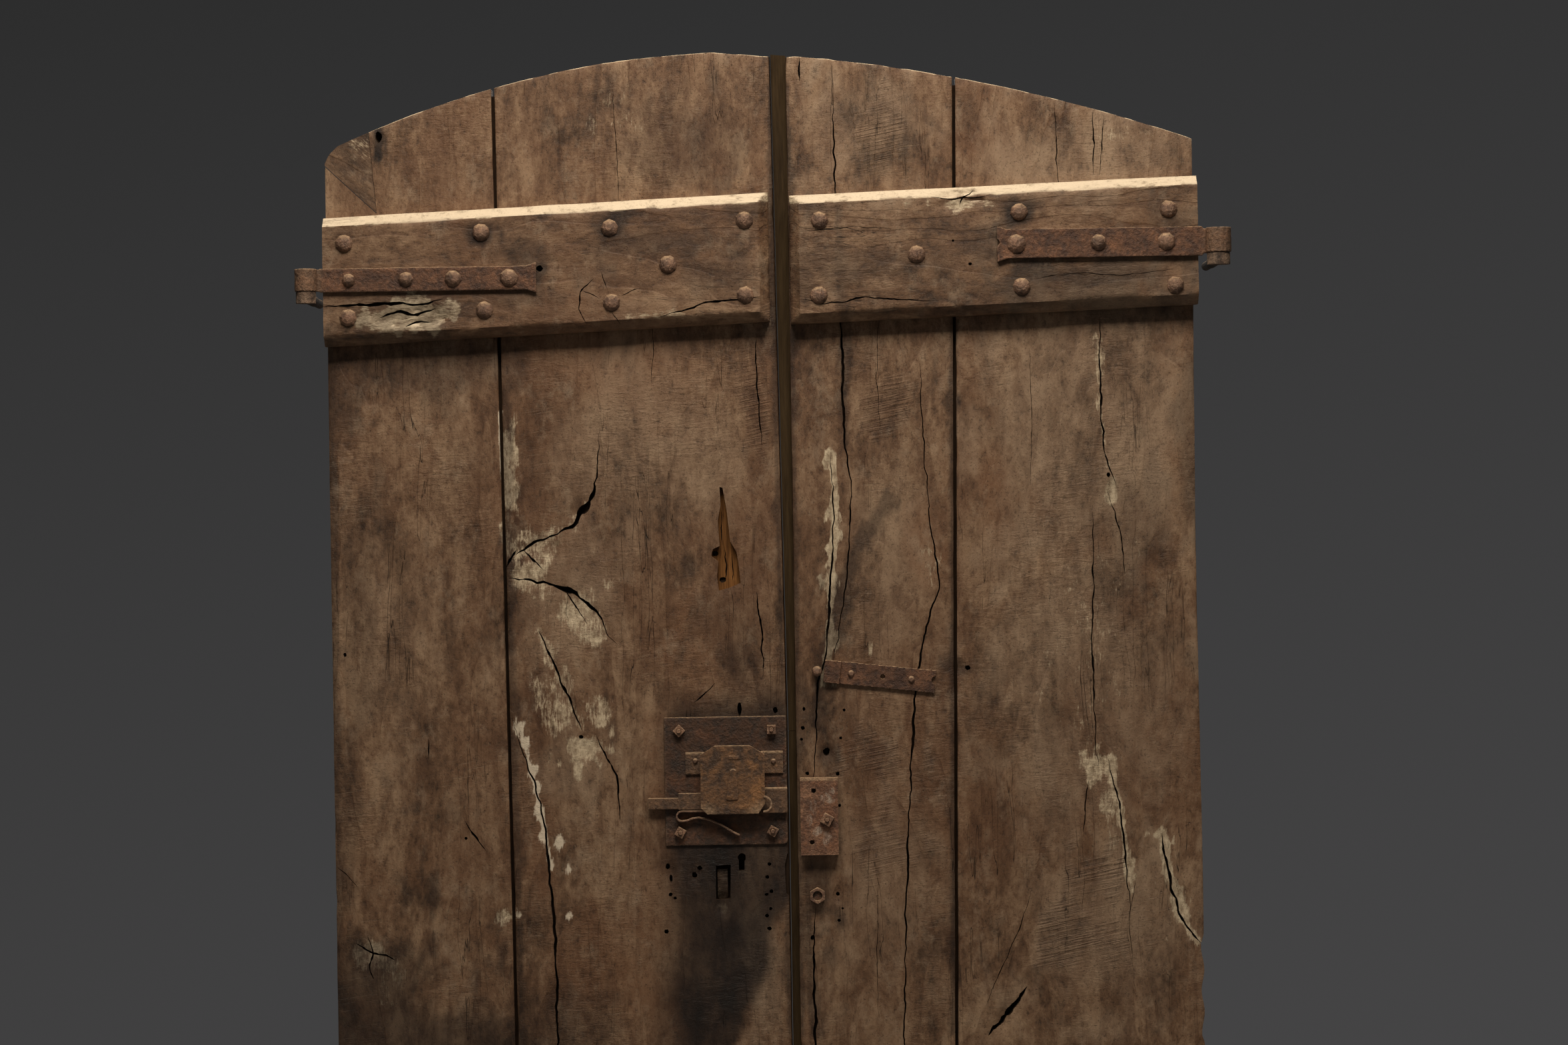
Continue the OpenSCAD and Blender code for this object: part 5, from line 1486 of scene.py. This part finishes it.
def softbox(name, place_at, aim, size, watts, colour):
    data = bpy.data.lights.new(name, "AREA")
    data.shape = "RECTANGLE"
    data.size, data.size_y = size
    data.energy = watts
    data.color = colour
    lamp = bpy.data.objects.new(name, data)
    turn = Vector(np.array(aim) - np.array(place_at)).to_track_quat("-Z", "Y")
    lamp.matrix_world = Matrix.Translation(place_at) @ turn.to_matrix().to_4x4()
    bpy.context.scene.collection.objects.link(lamp)


def lights():
    for lamp in LAMPS:
        softbox(*lamp)
    bpy.context.scene.view_settings.view_transform = "Standard"


def surroundings():
    """A dark grey room, a little lighter low down."""
    world = bpy.data.worlds.new("studio")
    bpy.context.scene.world = world
    world.use_nodes = True
    tree = world.node_tree
    tree.nodes.clear()
    towards = put(tree, "ShaderNodeTexCoord").outputs["Generated"]
    towards = put(tree, "ShaderNodeSeparateXYZ", {0: towards}).outputs
    height = weighed(tree, [(towards["Z"], 1.0), (towards["X"], -0.2)])
    wall = mixed(tree, ranged(tree, height, -0.18, 0.18), WALL_LOW, WALL_HIGH)
    seen = put(tree, "ShaderNodeBackground", {"Color": wall, "Strength": 1.0})
    glow = put(tree, "ShaderNodeBackground", {"Color": GLOW, "Strength": GLOW_STRENGTH})
    straight = put(tree, "ShaderNodeLightPath").outputs["Is Camera Ray"]
    both = put(tree, "ShaderNodeMixShader", {0: straight, 1: glow.outputs[0], 2: seen.outputs[0]})
    put(tree, "ShaderNodeOutputWorld", {"Surface": both.outputs[0]})


def floor():
    """A plain pale floor under the door."""
    mesh = bpy.data.meshes.new("floor")
    corners = [(FLOOR_HALF * x, FLOOR_HALF * y, FLOOR_Z) for x, y in ((-1, -1), (1, -1), (1, 1), (-1, 1))]
    mesh.from_pydata(corners, [], [(0, 1, 2, 3)])
    piece = link("floor", mesh)
    material, tree, shader, coords = new_material("pale_floor")
    grey = mixed(tree, noise_of(tree, coords["Object"], (3, 3, 3)), *FLOOR_TONES)
    tree.links.new(grey, shader.inputs["Base Color"])
    shader.inputs["Roughness"].default_value = 0.8
    mesh.materials.append(material)


camera()
lights()
surroundings()
floor()
planks()
corner_patch()
joint_dirt_and_shade()
mortise_plug()
battens()
all_nails()
straps()
lock()
spring_curl()
right_leaf_iron()
carried_over()
